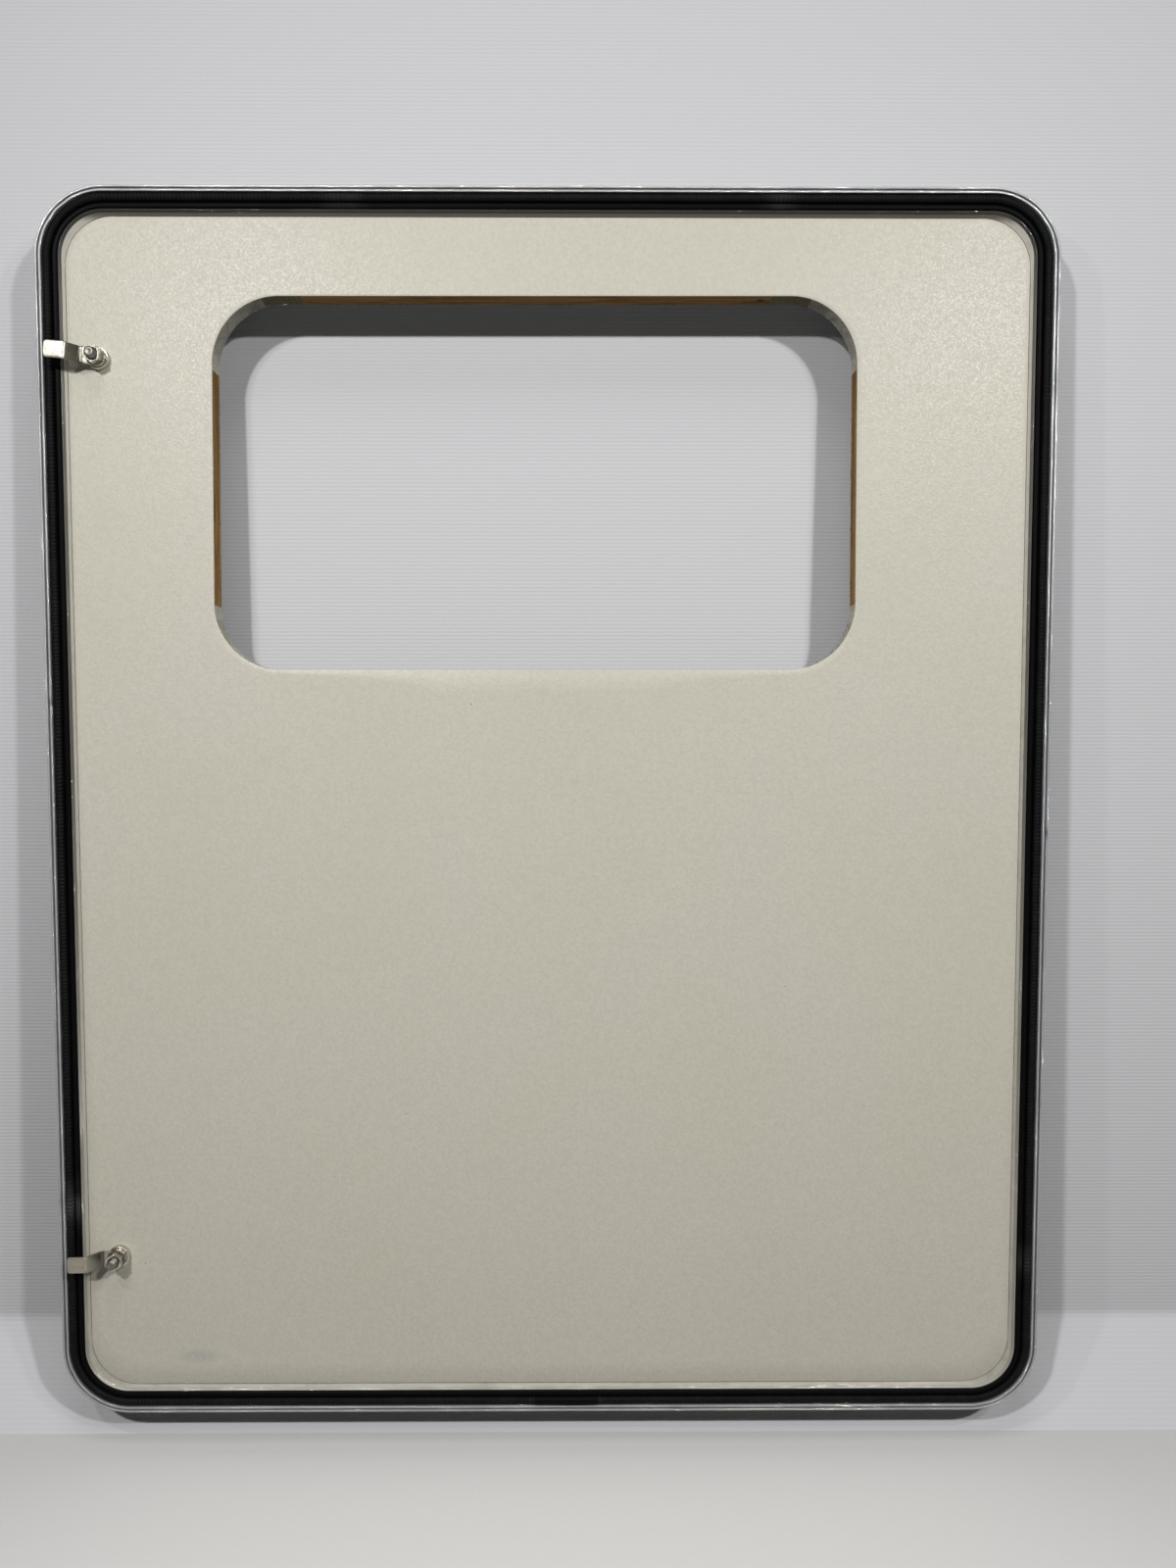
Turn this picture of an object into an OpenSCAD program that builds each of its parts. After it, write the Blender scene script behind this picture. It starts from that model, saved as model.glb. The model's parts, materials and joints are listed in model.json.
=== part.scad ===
// Service hatch leaf of a camper: a rounded sandwich panel with a cut-out for a window,
// an aluminium edge frame with a rubber seal, and two quarter-turn cam latches.
// The leaf stands upright. Its inner side faces -Y, its outer side +Y, and its latches are on -X.
// The origin is the middle of the flat side face of the edge frame away from the latches,
// where the hinge strip is fastened.

/* [Leaf] */
// Width of the leaf over its edge frame
leaf_w = 1100; // [900:5:1400]
// Height of the leaf over its edge frame
leaf_h = 1352; // [1150:1:1600]
// Outer corner radius of the edge frame
corner_r = 74; // [60:1:120]

/* [Sandwich panel] */
// Thickness of the inner sheet
inner_sheet_t = 1.5; // [1:0.1:3]
// Thickness of the outer sheet
outer_sheet_t = 1.5; // [1:0.1:3]
// Thickness of the foam core and of the battens set in it
core_t = 24; // [18:1:40]
// Corner radius of the inner sheet, larger than that of the frame round it
inner_sheet_r = 50; // [46:1:100]
// Width of the open joint round the inner sheet
sheet_joint = 0.8; // [0.4:0.1:2]

/* [Window cut-out] */
// Width of the cut-out
cutout_w = 700; // [400:5:800]
// Height of the cut-out
cutout_h = 400; // [250:5:600]
// Corner radius of the cut-out
cutout_r = 72; // [40:1:100]
// Distance from the latch edge of the leaf to the cut-out
cutout_from_latch_edge = 185; // [150:1:260]
// Distance from the top of the leaf to the cut-out
cutout_from_top = 114; // [100:1:300]

/* [Battens round the cut-out] */
// Width of a batten, measured away from the cut-out
batten_w = 38; // [20:1:60]
// Distance from the start of the round corner to the end of the top and bottom battens
long_batten_short_of = 22; // [0:1:60]
// Distance from the start of the round corner to the end of the side battens
side_batten_short_of = 2; // [0:1:30]
// Length of the packing piece at each end of a long batten
packing_l = 43; // [20:1:60]
// Length of the glue pad at each end of a side batten
pad_l = 17; // [8:1:20]

/* [Edge frame] */
// Thickness of the outer wall
outer_wall_t = 2; // [1.5:0.1:3]
// Width of the narrow groove in the rim
groove_w = 2; // [1:0.1:3]
// Depth of the narrow groove
groove_depth = 5; // [2:0.5:7]
// Thickness of the wall between the groove and the seal
middle_wall_t = 2.2; // [1.5:0.1:3]
// Height of the rim above the inner sheet
rim_h = 5; // [3:0.5:8]
// Width of the channel that holds the seal
channel_w = 18.6; // [14:0.1:24]
// Depth of the channel below the rim
channel_depth = 9; // [7:0.5:12]
// Width of the sloping inner lip
lip_w = 5; // [3:0.1:8]
// Height of the lip's high edge above the inner sheet
lip_h = 4; // [2:0.1:5]
// Height of the lip's low edge above the inner sheet
lip_low_h = 0.4; // [0.2:0.1:1]
// Wall thickness of the hollow box below the channel
box_wall_t = 1.6; // [1:0.1:3]
// Width of the flange that laps over the outer sheet
flange_w = 24; // [14:1:40]
// Thickness of that flange
flange_t = 2; // [1.5:0.1:3]
// Radius of the flange's edges
flange_edge_r = 1; // [0.5:0.1:1.4]
// Radius of the rim's edges
rim_edge_r = 0.4; // [0.2:0.1:0.5]
// Width of the sealant bead between lip and inner sheet, on the straight sides
bead_w = 3; // [1:0.1:5]

/* [Seal] */
// Radius of the ribbed outer bulb of the seal
bulb_r = 5; // [3:0.1:6]
// Height of the bulb's crown above the rim
bulb_crown = 1.4; // [0:0.1:3]
// Radius of the smooth inner lobe of the seal
lobe_r = 4; // [2:0.1:5]
// Drop of the lobe's crown below the bulb's crown
lobe_drop = 2.2; // [0:0.1:4]
// Thickness of the foot that both stand on
seal_foot_t = 2.5; // [1.5:0.1:4]
// Wall thickness of the hollow bulb and lobe
seal_wall_t = 1.5; // [1:0.1:2]
// Distance from the latch edge to the middle of the joint in the seal
seal_joint_from_latch_edge = 567; // [400:1:700]
// Length of the joint piece
seal_joint_l = 72; // [30:1:100]
// Height that the joint piece stands above the seal
seal_joint_rise = 0.5; // [0.2:0.1:1]

/* [Latches] */
// Distance from the latch edge to the latch axes
latch_from_edge = 65; // [55:1:90]
// Distance from the top and bottom of the leaf to the latch axes
latch_from_end = 181; // [140:1:220]
// Diameter of the lock barrel through the panel
barrel_d = 19; // [17:0.5:21]
// Height of the barrel's end above the inner sheet
barrel_h = 8; // [6:0.5:14]
// Diameter of the round nut that clamps the barrel to the inner sheet
collar_d = 24; // [22:0.5:32]
// Height of that nut
collar_t = 6.5; // [4:0.5:8]
// Diameter of the plate on the outer sheet
plate_d = 42; // [30:1:60]
// Thickness of the plate on the outer sheet
plate_t = 2.5; // [1.5:0.1:5]
// Diameter of the barrel's head on that plate
head_d = 28; // [24:0.5:30]
// Thickness of the barrel's head
head_t = 3; // [2:0.1:5]
// Diameter of the turning lock plug
plug_d = 14; // [12:0.5:15]
// Width of the key slot in the plug
key_slot_w = 2.2; // [1.5:0.1:3]
// Length of the key slot
key_slot_l = 8; // [6:0.5:10]
// Depth of the key slot
key_slot_depth = 5; // [3:0.5:8]
// Diameter of the threaded spindle
spindle_d = 11; // [9:0.5:11]
// Height of the spindle's tip above the inner sheet
spindle_tip_h = 28; // [24:0.5:34]
// Outer diameter of the washer
washer_d = 21; // [18:0.5:24]
// Thickness of the washer
washer_t = 1.6; // [1:0.1:2.5]
// Width of the hexagon nut across its flats
nut_af = 17; // [15:0.5:19]
// Height of the nut
nut_h = 7.5; // [5:0.5:9]

/* [Cranked cam] */
// Width of the cam
cam_w = 18; // [14:0.5:24]
// Thickness of the cam
cam_t = 3; // [2:0.1:4]
// Reach of the cam from the axis to its tip
cam_reach = 49; // [46:0.5:54]
// Distance from the axis to the start of the slope
cam_slope_start = 17; // [14:0.5:20]
// Length of the slope, measured along the leaf
cam_slope_l = 12; // [8:0.5:16]
// Rise of the tongue over the base of the cam
cam_rise = 13; // [8:0.5:16]
// Bend radius at the middle of the cam's thickness
cam_bend_r = 3.5; // [2.5:0.1:5]
// Corner radius of the tongue's tip
cam_tip_r = 2.5; // [1:0.1:5]
// Turn of the upper cam at rest, tongue upward
upper_cam_turn = 5; // [-5:0.5:8]
// Turn of the lower cam at rest, tongue upward
lower_cam_turn = -1; // [-5:0.5:8]

/* [Clearances] */
// Clearance round pieces that are set in the panel
set_gap = 0.2; // [0.05:0.05:0.5]
// Clearance between the edge frame and the outer sheet and core set in it
panel_gap = 0.5; // [0.4:0.05:0.8]
// Clearance on each side of the seal in its channel
seal_gap = 0.5; // [0.4:0.05:0.8]
// Radial clearance of the turning plug and spindle
running_gap = 0.05; // [0.02:0.01:0.1]
// Gap between faces that slide past each other
slide_gap = 0.3; // [0.2:0.05:0.6]

/* [Hidden] */

$fn = 96;
through = 1;

// Heights above the inner sheet, negative into the panel
core_top_h = -inner_sheet_t;
core_base = core_top_h - core_t;
panel_base = core_base - outer_sheet_t;
flange_base = panel_base - flange_t;
channel_floor = rim_h - channel_depth;
web_base = channel_floor - box_wall_t;

// Distances inward from the outer edge of the leaf
groove_in = outer_wall_t;
middle_wall_in = groove_in + groove_w;
channel_in = middle_wall_in + middle_wall_t;
lip_in = channel_in + channel_w;
bead_in = lip_in + lip_w;
joint_in = bead_in + bead_w;
sheet_in = joint_in + sheet_joint;

cutout_x = -leaf_w / 2 + cutout_from_latch_edge + cutout_w / 2;
cutout_y = leaf_h / 2 - cutout_from_top - cutout_h / 2;
latch_x = -leaf_w / 2 + latch_from_edge;
latch_y = leaf_h / 2 - latch_from_end;

// Half lengths of the battens, and half sizes of the ring that they and their end pieces fill
long_batten_half = cutout_w / 2 - cutout_r - long_batten_short_of;
side_batten_half = cutout_h / 2 - cutout_r - side_batten_short_of;
ring_half_w = cutout_w / 2 + batten_w;
ring_half_h = cutout_h / 2 + batten_w;

seal_foot_in = channel_in + seal_gap;
seal_foot_w = channel_w - 2 * seal_gap;
bulb_axis_in = seal_foot_in + bulb_r;
bulb_axis_h = rim_h + bulb_crown - bulb_r;
lobe_axis_in = seal_foot_in + seal_foot_w - lobe_r;
lobe_axis_h = rim_h + bulb_crown - lobe_drop - lobe_r;

plug_base = barrel_h - 4;
cam_base_h = barrel_h + slide_gap;
washer_base_h = cam_base_h + cam_t;
nut_base_h = washer_base_h + washer_t;
plate_base = panel_base - plate_t;
head_base = plate_base - head_t;
cam_slope_a = atan2(cam_rise, cam_slope_l);

// Stands the leaf up, with the middle of its hinge side at the origin
module stand() {
    middle = (rim_h + flange_base) / 2;
    rotate([90, 0, 0]) translate([-leaf_w / 2, 0, -middle]) children();
}

// A flat rectangle with round corners, set in from the edge of the leaf
module leaf_outline(inset, r) {
    rounded_rectangle(leaf_w - 2 * inset, leaf_h - 2 * inset, r);
}

module rounded_rectangle(w, h, r) {
    square([w - 2 * r, h], center = true);
    square([w, h - 2 * r], center = true);
    for (x = [-1, 1], y = [-1, 1]) translate([x * (w / 2 - r), y * (h / 2 - r)]) circle(r);
}

module cutout_outline() {
    translate([cutout_x, cutout_y]) rounded_rectangle(cutout_w, cutout_h, cutout_r);
}

// Puts a piece at both latch axes
module at_latches() {
    for (side = [-1, 1]) translate([latch_x, side * latch_y, 0]) children();
}

// Carries a profile round the leaf: its x runs inward from the edge, its y toward the inner side
module round_the_leaf() {
    for (turn = [0 : 3]) {
        across = turn % 2 == 0 ? leaf_w : leaf_h;
        along = turn % 2 == 0 ? leaf_h : leaf_w;
        rotate(90 * turn) {
            translate([across / 2, along / 2 - corner_r, 0])
                rotate([90, 0, 0])
                linear_extrude(along - 2 * corner_r)
                mirror([1, 0])
                children();
            translate([across / 2 - corner_r, along / 2 - corner_r, 0])
                rotate_extrude(angle = 90)
                translate([corner_r, 0])
                mirror([1, 0])
                children();
        }
    }
}

// A block from one distance and height to another, as part of an edge profile
module profile_block(in_from, in_to, h_from, h_to) {
    translate([in_from, min(h_from, h_to)]) square([in_to - in_from, abs(h_to - h_from)]);
}

// A block whose two corners at its far height are rounded
module round_ended_block(in_from, in_to, h_from, h_to, r) {
    round_h = h_to - sign(h_to - h_from) * r;
    profile_block(in_from, in_to, h_from, round_h);
    profile_block(in_from + r, in_to - r, h_from, h_to);
    intersection() {
        profile_block(in_from, in_to, h_from, h_to);
        for (distance = [in_from + r, in_to - r]) translate([distance, round_h]) circle(r);
    }
}

module edge_profile() {
    round_ended_block(0, outer_wall_t, flange_base + flange_edge_r, rim_h, rim_edge_r);
    round_ended_block(0, flange_w, panel_base, flange_base, flange_edge_r);
    profile_block(groove_in, channel_in, web_base, rim_h - groove_depth);
    round_ended_block(middle_wall_in, channel_in, web_base, rim_h, rim_edge_r);
    profile_block(groove_in, bead_in, web_base, channel_floor);
    profile_block(groove_in, bead_in, core_base, core_base + box_wall_t);
    profile_block(bead_in - box_wall_t, bead_in, core_base, channel_floor);
    polygon([
        [lip_in, web_base],
        [lip_in, lip_h],
        [bead_in, lip_low_h],
        [bead_in, web_base]
    ]);
}

// A round bulb on its axis, standing on the floor of the channel
module bulb(axis_in, axis_h, r) {
    profile_block(axis_in - r, axis_in + r, channel_floor, axis_h);
    translate([axis_in, axis_h]) circle(r);
}

module seal_profile(rise = 0) {
    difference() {
        union() {
            translate([seal_foot_in, channel_floor]) square([seal_foot_w, seal_foot_t]);
            bulb(bulb_axis_in, bulb_axis_h + rise, bulb_r);
            bulb(lobe_axis_in, lobe_axis_h + rise, lobe_r);
        }
        translate([bulb_axis_in, bulb_axis_h + rise]) circle(bulb_r - seal_wall_t);
        translate([lobe_axis_in, lobe_axis_h + rise]) circle(lobe_r - seal_wall_t);
    }
}

// The stretch of the bottom side that the seal's joint piece takes up
module seal_joint_stretch(length) {
    reach = 2 * bead_in;
    translate([-leaf_w / 2 + seal_joint_from_latch_edge, -leaf_h / 2, 0])
        cube([length, reach, reach * 2], center = true);
}

module inner_sheet() {
    color("#cdc9bd") stand() translate([0, 0, core_top_h]) difference() {
        linear_extrude(inner_sheet_t) difference() {
            leaf_outline(sheet_in, inner_sheet_r);
            cutout_outline();
        }
        at_latches() cylinder(h = 4 * inner_sheet_t, d = barrel_d + 2 * set_gap, center = true);
    }
}

module outer_sheet() {
    inset = outer_wall_t + panel_gap;
    color("#e9e8e3") stand() translate([0, 0, panel_base]) difference() {
        linear_extrude(outer_sheet_t) difference() {
            leaf_outline(inset, corner_r - inset);
            cutout_outline();
        }
        at_latches() cylinder(h = 4 * outer_sheet_t, d = barrel_d + 2 * set_gap, center = true);
    }
}

// One side of the ring round the cut-out, between two places along that side
module ring_side(side, along_from, along_to) {
    upright = abs(side[0]) == 1;
    middle = (along_from + along_to) / 2;
    translate([cutout_x, cutout_y])
        if (upright)
            translate([side[0] * (cutout_w + batten_w) / 2, middle])
                square([batten_w, along_to - along_from], center = true);
        else
            translate([middle, side[1] * (cutout_h + batten_w) / 2])
                square([along_to - along_from, batten_w], center = true);
}

module batten_flats() {
    for (y = [-1, 1]) ring_side([0, y], -long_batten_half, long_batten_half);
    for (x = [-1, 1]) ring_side([x, 0], -side_batten_half, side_batten_half);
}

// A piece at the end of a batten: it runs on into the round corner and is cut to it
module end_piece_flat(side, end, batten_half, length) {
    past = cutout_r / 2;
    depth = batten_w + past;
    middle = end * (batten_half + length / 2);
    difference() {
        translate([cutout_x, cutout_y])
            if (abs(side[0]) == 1)
                translate([side[0] * (ring_half_w - depth / 2), middle])
                    square([depth, length], center = true);
            else
                translate([middle, side[1] * (ring_half_h - depth / 2)])
                    square([length, depth], center = true);
        cutout_outline();
    }
}

module packing_flats() {
    for (y = [-1, 1], end = [-1, 1]) end_piece_flat([0, y], end, long_batten_half, packing_l);
}

module pad_flats() {
    for (x = [-1, 1], end = [-1, 1]) end_piece_flat([x, 0], end, side_batten_half, pad_l);
}

// The four pieces of foam in the round corners of the cut-out
module corner_foam() {
    color("#b9b7ae") stand() translate([0, 0, core_base]) linear_extrude(core_t) difference() {
        translate([cutout_x, cutout_y]) square([2 * ring_half_w, 2 * ring_half_h], center = true);
        cutout_outline();
        batten_flats();
        packing_flats();
        pad_flats();
    }
}

// A board of the foam core, between two distances to the right of and above the leaf's middle
module core_board(x_from, x_to, y_from, y_to) {
    inset = bead_in + panel_gap;
    color("#b9b7ae") stand() translate([0, 0, core_base]) difference() {
        linear_extrude(core_t) intersection() {
            leaf_outline(inset, corner_r - inset);
            translate([x_from, y_from]) square([x_to - x_from, y_to - y_from]);
        }
        at_latches() cylinder(h = 4 * core_t, d = barrel_d + 2 * set_gap, center = true);
    }
}

module core_top() {
    core_board(-leaf_w / 2, leaf_w / 2, cutout_y + ring_half_h, leaf_h / 2);
}

module core_bottom() {
    core_board(-leaf_w / 2, leaf_w / 2, -leaf_h / 2, cutout_y - ring_half_h);
}

module core_left() {
    core_board(-leaf_w / 2, cutout_x - ring_half_w, cutout_y - ring_half_h, cutout_y + ring_half_h);
}

module core_right() {
    core_board(cutout_x + ring_half_w, leaf_w / 2, cutout_y - ring_half_h, cutout_y + ring_half_h);
}

module batten(side, half) {
    color("#a8875a") stand() translate([0, 0, core_base])
        linear_extrude(core_t) ring_side(side, -half, half);
}

module batten_top() {
    batten([0, 1], long_batten_half);
}

module batten_bottom() {
    batten([0, -1], long_batten_half);
}

module batten_left() {
    batten([-1, 0], side_batten_half);
}

module batten_right() {
    batten([1, 0], side_batten_half);
}

module packing_pieces() {
    color("#77715b") stand() translate([0, 0, core_base]) linear_extrude(core_t) packing_flats();
}

module glue_pads() {
    color("#d8d5c8") stand() translate([0, 0, core_base]) linear_extrude(core_t) pad_flats();
}

module edge_frame() {
    color("#b5b6b6") stand() round_the_leaf() edge_profile();
}

// Fills the crescents at the corners, where the sheet is rounder than the frame
module edge_sealant() {
    inset = bead_in + set_gap;
    color("#c5c1b2") stand() translate([0, 0, core_top_h])
        linear_extrude(inner_sheet_t) difference() {
            leaf_outline(inset, corner_r - inset);
            leaf_outline(joint_in, inner_sheet_r + sheet_joint);
        }
}

module seal() {
    color("#161616") stand() difference() {
        round_the_leaf() seal_profile();
        seal_joint_stretch(seal_joint_l + 2 * set_gap);
    }
}

module seal_joint() {
    middle_x = -leaf_w / 2 + seal_joint_from_latch_edge;
    color("#1d1d1d") stand()
        translate([middle_x - seal_joint_l / 2, -leaf_h / 2, 0])
        rotate([90, 0, 90])
        linear_extrude(seal_joint_l)
        seal_profile(seal_joint_rise);
}

// Turns a profile of radius and height into a round piece on a latch axis
module lathe() {
    rotate_extrude() children();
}

module lock_plate() {
    edge = plate_t / 2;
    color("#c9cacb") difference() {
        lathe() polygon([
            [0, plate_base],
            [plate_d / 2 - edge, plate_base],
            [plate_d / 2, plate_base + edge],
            [plate_d / 2, panel_base],
            [0, panel_base]
        ]);
        cylinder(h = 6 * core_t, d = barrel_d + 2 * set_gap, center = true);
    }
}

module lock_barrel() {
    edge = head_t / 3;
    color("#a9abad") difference() {
        lathe() polygon([
            [0, head_base],
            [head_d / 2 - edge, head_base],
            [head_d / 2, head_base + edge],
            [head_d / 2, plate_base],
            [barrel_d / 2, plate_base],
            [barrel_d / 2, barrel_h],
            [0, barrel_h]
        ]);
        translate([0, 0, head_base - through])
            cylinder(h = plug_base - head_base + through, r = plug_d / 2 + running_gap);
        cylinder(h = 2 * barrel_h, r = spindle_d / 2 + running_gap);
    }
}

module lock_collar() {
    edge = 0.8;
    color("#9c9d9e") difference() {
        lathe() polygon([
            [0, 0],
            [collar_d / 2, 0],
            [collar_d / 2, collar_t - edge],
            [collar_d / 2 - edge, collar_t],
            [0, collar_t]
        ]);
        cylinder(h = 4 * collar_t, d = barrel_d + 2 * set_gap, center = true);
    }
}

module lock_plug() {
    color("#8f9193") difference() {
        translate([0, 0, head_base]) cylinder(h = plug_base - slide_gap - head_base, d = plug_d);
        translate([0, 0, head_base]) cube([key_slot_w, key_slot_l, 2 * key_slot_depth], center = true);
    }
}

module spindle() {
    edge = 1;
    base = plug_base - slide_gap;
    color("#86868a") lathe() polygon([
        [0, base],
        [spindle_d / 2, base],
        [spindle_d / 2, spindle_tip_h - edge],
        [spindle_d / 2 - edge, spindle_tip_h],
        [0, spindle_tip_h]
    ]);
}

// Points of an arc about a centre, from one angle to another
function arc_points(centre, r, from, to, steps = 6) = [
    for (i = [0 : steps]) let (angle = from + (to - from) * i / steps) centre + r * [cos(angle), sin(angle)]
];

// Side view of the cam: x runs from the axis to the tip, y away from the leaf
module cam_side_view() {
    half = cam_t / 2;
    tangent = cam_bend_r * tan(cam_slope_a / 2);
    low = cam_base_h + half;
    high = low + cam_rise;
    low_centre = [cam_slope_start - tangent, low + cam_bend_r];
    high_centre = [cam_slope_start + cam_slope_l + tangent, high - cam_bend_r];
    polygon(concat(
        [[-cam_w, low + half]],
        arc_points(low_centre, cam_bend_r - half, -90, -90 + cam_slope_a),
        arc_points(high_centre, cam_bend_r + half, 90 + cam_slope_a, 90),
        [[cam_reach, high + half], [cam_reach, high - half]],
        arc_points(high_centre, cam_bend_r - half, 90, 90 + cam_slope_a),
        arc_points(low_centre, cam_bend_r + half, -90 + cam_slope_a, -90),
        [[-cam_w, low - half]]
    ));
}

// Plan view of the cam: round at the axis, small corners at the tip
module cam_plan_view() {
    tip_x = cam_reach - cam_tip_r;
    tip_y = cam_w / 2 - cam_tip_r;
    circle(d = cam_w);
    translate([0, -cam_w / 2]) square([tip_x, cam_w]);
    translate([0, -tip_y]) square([cam_reach, 2 * tip_y]);
    for (y = [-tip_y, tip_y]) translate([tip_x, y]) circle(cam_tip_r);
}

module cam() {
    color("#b8b4a6") difference() {
        intersection() {
            rotate([90, 0, 0]) translate([0, 0, -cam_w]) linear_extrude(2 * cam_w) cam_side_view();
            linear_extrude(2 * spindle_tip_h) cam_plan_view();
        }
        cylinder(h = 2 * spindle_tip_h, r = spindle_d / 2 + set_gap);
    }
}

module washer() {
    color("#c4c4c4") translate([0, 0, washer_base_h]) difference() {
        cylinder(h = washer_t, d = washer_d);
        cylinder(h = 4 * washer_t, r = spindle_d / 2 + set_gap, center = true);
    }
}

module nut() {
    corner_d = nut_af / cos(30);
    edge = (corner_d - nut_af) / 2 + 0.3;
    color("#b0b0ae") translate([0, 0, nut_base_h]) difference() {
        intersection() {
            cylinder(h = nut_h, d = corner_d, $fn = 6);
            lathe() polygon([
                [0, 0],
                [corner_d / 2 - edge, 0],
                [corner_d / 2, edge / 2],
                [corner_d / 2, nut_h - edge / 2],
                [corner_d / 2 - edge, nut_h],
                [0, nut_h]
            ]);
        }
        cylinder(h = 4 * nut_h, r = spindle_d / 2 + set_gap, center = true);
    }
}

// Puts a latch piece on its axis: side is 1 for the upper latch and -1 for the lower one
module on_axis(side) {
    stand() translate([latch_x, side * latch_y, 0]) children();
}

// Turns a cam so that its tongue points over the latch edge, and up by the given angle
module tongue_out(side) {
    on_axis(side) rotate(180 - (side > 0 ? upper_cam_turn : lower_cam_turn)) children();
}

inner_sheet();
outer_sheet();
core_top();
core_bottom();
core_left();
core_right();
corner_foam();
batten_top();
batten_bottom();
batten_left();
batten_right();
packing_pieces();
glue_pads();
edge_frame();
edge_sealant();
seal();
seal_joint();
on_axis(1) lock_plate();  // upper_lock_plate
on_axis(1) lock_barrel();  // upper_lock_barrel
on_axis(1) lock_collar();  // upper_lock_collar
on_axis(1) lock_plug();  // upper_lock_plug
on_axis(1) spindle();  // upper_spindle
tongue_out(1) cam();  // upper_cam
on_axis(1) washer();  // upper_washer
tongue_out(1) nut();  // upper_nut
on_axis(-1) lock_plate();  // lower_lock_plate
on_axis(-1) lock_barrel();  // lower_lock_barrel
on_axis(-1) lock_collar();  // lower_lock_collar
on_axis(-1) lock_plug();  // lower_lock_plug
on_axis(-1) spindle();  // lower_spindle
tongue_out(-1) cam();  // lower_cam
on_axis(-1) washer();  // lower_washer
tongue_out(-1) nut();  // lower_nut
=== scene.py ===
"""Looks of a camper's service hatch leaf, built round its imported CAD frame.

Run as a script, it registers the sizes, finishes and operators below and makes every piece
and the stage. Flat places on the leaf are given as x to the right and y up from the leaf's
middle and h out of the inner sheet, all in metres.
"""

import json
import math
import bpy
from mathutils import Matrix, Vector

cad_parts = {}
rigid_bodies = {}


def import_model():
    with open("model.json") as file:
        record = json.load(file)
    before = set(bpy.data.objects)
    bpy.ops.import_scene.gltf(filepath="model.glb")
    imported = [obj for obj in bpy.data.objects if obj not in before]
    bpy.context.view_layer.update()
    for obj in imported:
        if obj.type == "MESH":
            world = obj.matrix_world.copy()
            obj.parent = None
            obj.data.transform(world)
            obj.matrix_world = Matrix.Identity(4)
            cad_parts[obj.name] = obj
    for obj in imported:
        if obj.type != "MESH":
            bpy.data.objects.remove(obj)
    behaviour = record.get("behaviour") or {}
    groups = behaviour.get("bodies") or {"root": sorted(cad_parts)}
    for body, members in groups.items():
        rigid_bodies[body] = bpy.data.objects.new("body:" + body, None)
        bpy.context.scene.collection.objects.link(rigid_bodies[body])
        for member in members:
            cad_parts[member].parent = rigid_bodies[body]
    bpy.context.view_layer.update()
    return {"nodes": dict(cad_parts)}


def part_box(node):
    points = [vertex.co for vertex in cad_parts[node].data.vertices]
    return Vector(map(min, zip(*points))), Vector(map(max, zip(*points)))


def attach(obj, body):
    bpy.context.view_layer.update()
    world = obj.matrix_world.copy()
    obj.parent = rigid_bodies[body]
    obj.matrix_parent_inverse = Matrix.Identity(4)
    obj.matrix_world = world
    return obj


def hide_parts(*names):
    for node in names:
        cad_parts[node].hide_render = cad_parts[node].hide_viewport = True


bl_info = {
    "name": "Service Hatch Leaf",
    "version": (1, 0, 0),
    "blender": (4, 5, 0),
    "location": "3D View > Sidebar > Hatch Leaf",
    "description": "Builds the sheets, edge frame, seal, cut-out and latches of a hatch leaf",
    "category": "Add Mesh",
}

import bpy
import numpy as np
from bpy.props import FloatProperty, FloatVectorProperty, IntProperty, PointerProperty
from mathutils import Vector

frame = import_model()
FRAME_LOW, FRAME_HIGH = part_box("edge_frame")

MM = 0.001
LEAF_WIDTH = FRAME_HIGH.x - FRAME_LOW.x
LEAF_HEIGHT = FRAME_HIGH.z - FRAME_LOW.z
# Y of the inner sheet's face, where h is 0
INNER_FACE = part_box("inner_sheet")[0].y


def srgb(red, green, blue):
    """Linear colour of an sRGB colour given from 0 to 255."""
    parts = np.array([red, green, blue]) / 255.0
    linear = np.where(parts <= 0.04045, parts / 12.92, ((parts + 0.055) / 1.055) ** 2.4)
    return tuple(float(v) for v in linear)


def length(name, default, description):
    """A length that a user would change, in metres."""
    return FloatProperty(
        name=name, description=description, default=default, min=0.0, unit="LENGTH", precision=4
    )


def colour(name, default, description):
    """A colour that a user would change, given as sRGB from 0 to 255."""
    return FloatVectorProperty(
        name=name, description=description, default=srgb(*default), size=3, min=0.0, max=1.0,
        subtype="COLOR",
    )


def power(name, default, description):
    """A lamp's power."""
    return FloatProperty(name=name, description=description, default=default, unit="POWER")


def brightness(name, default, description):
    """Brightness of the room, from 0 to 1."""
    return FloatProperty(name=name, description=description, default=default, min=0.0, max=1.0)


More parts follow.
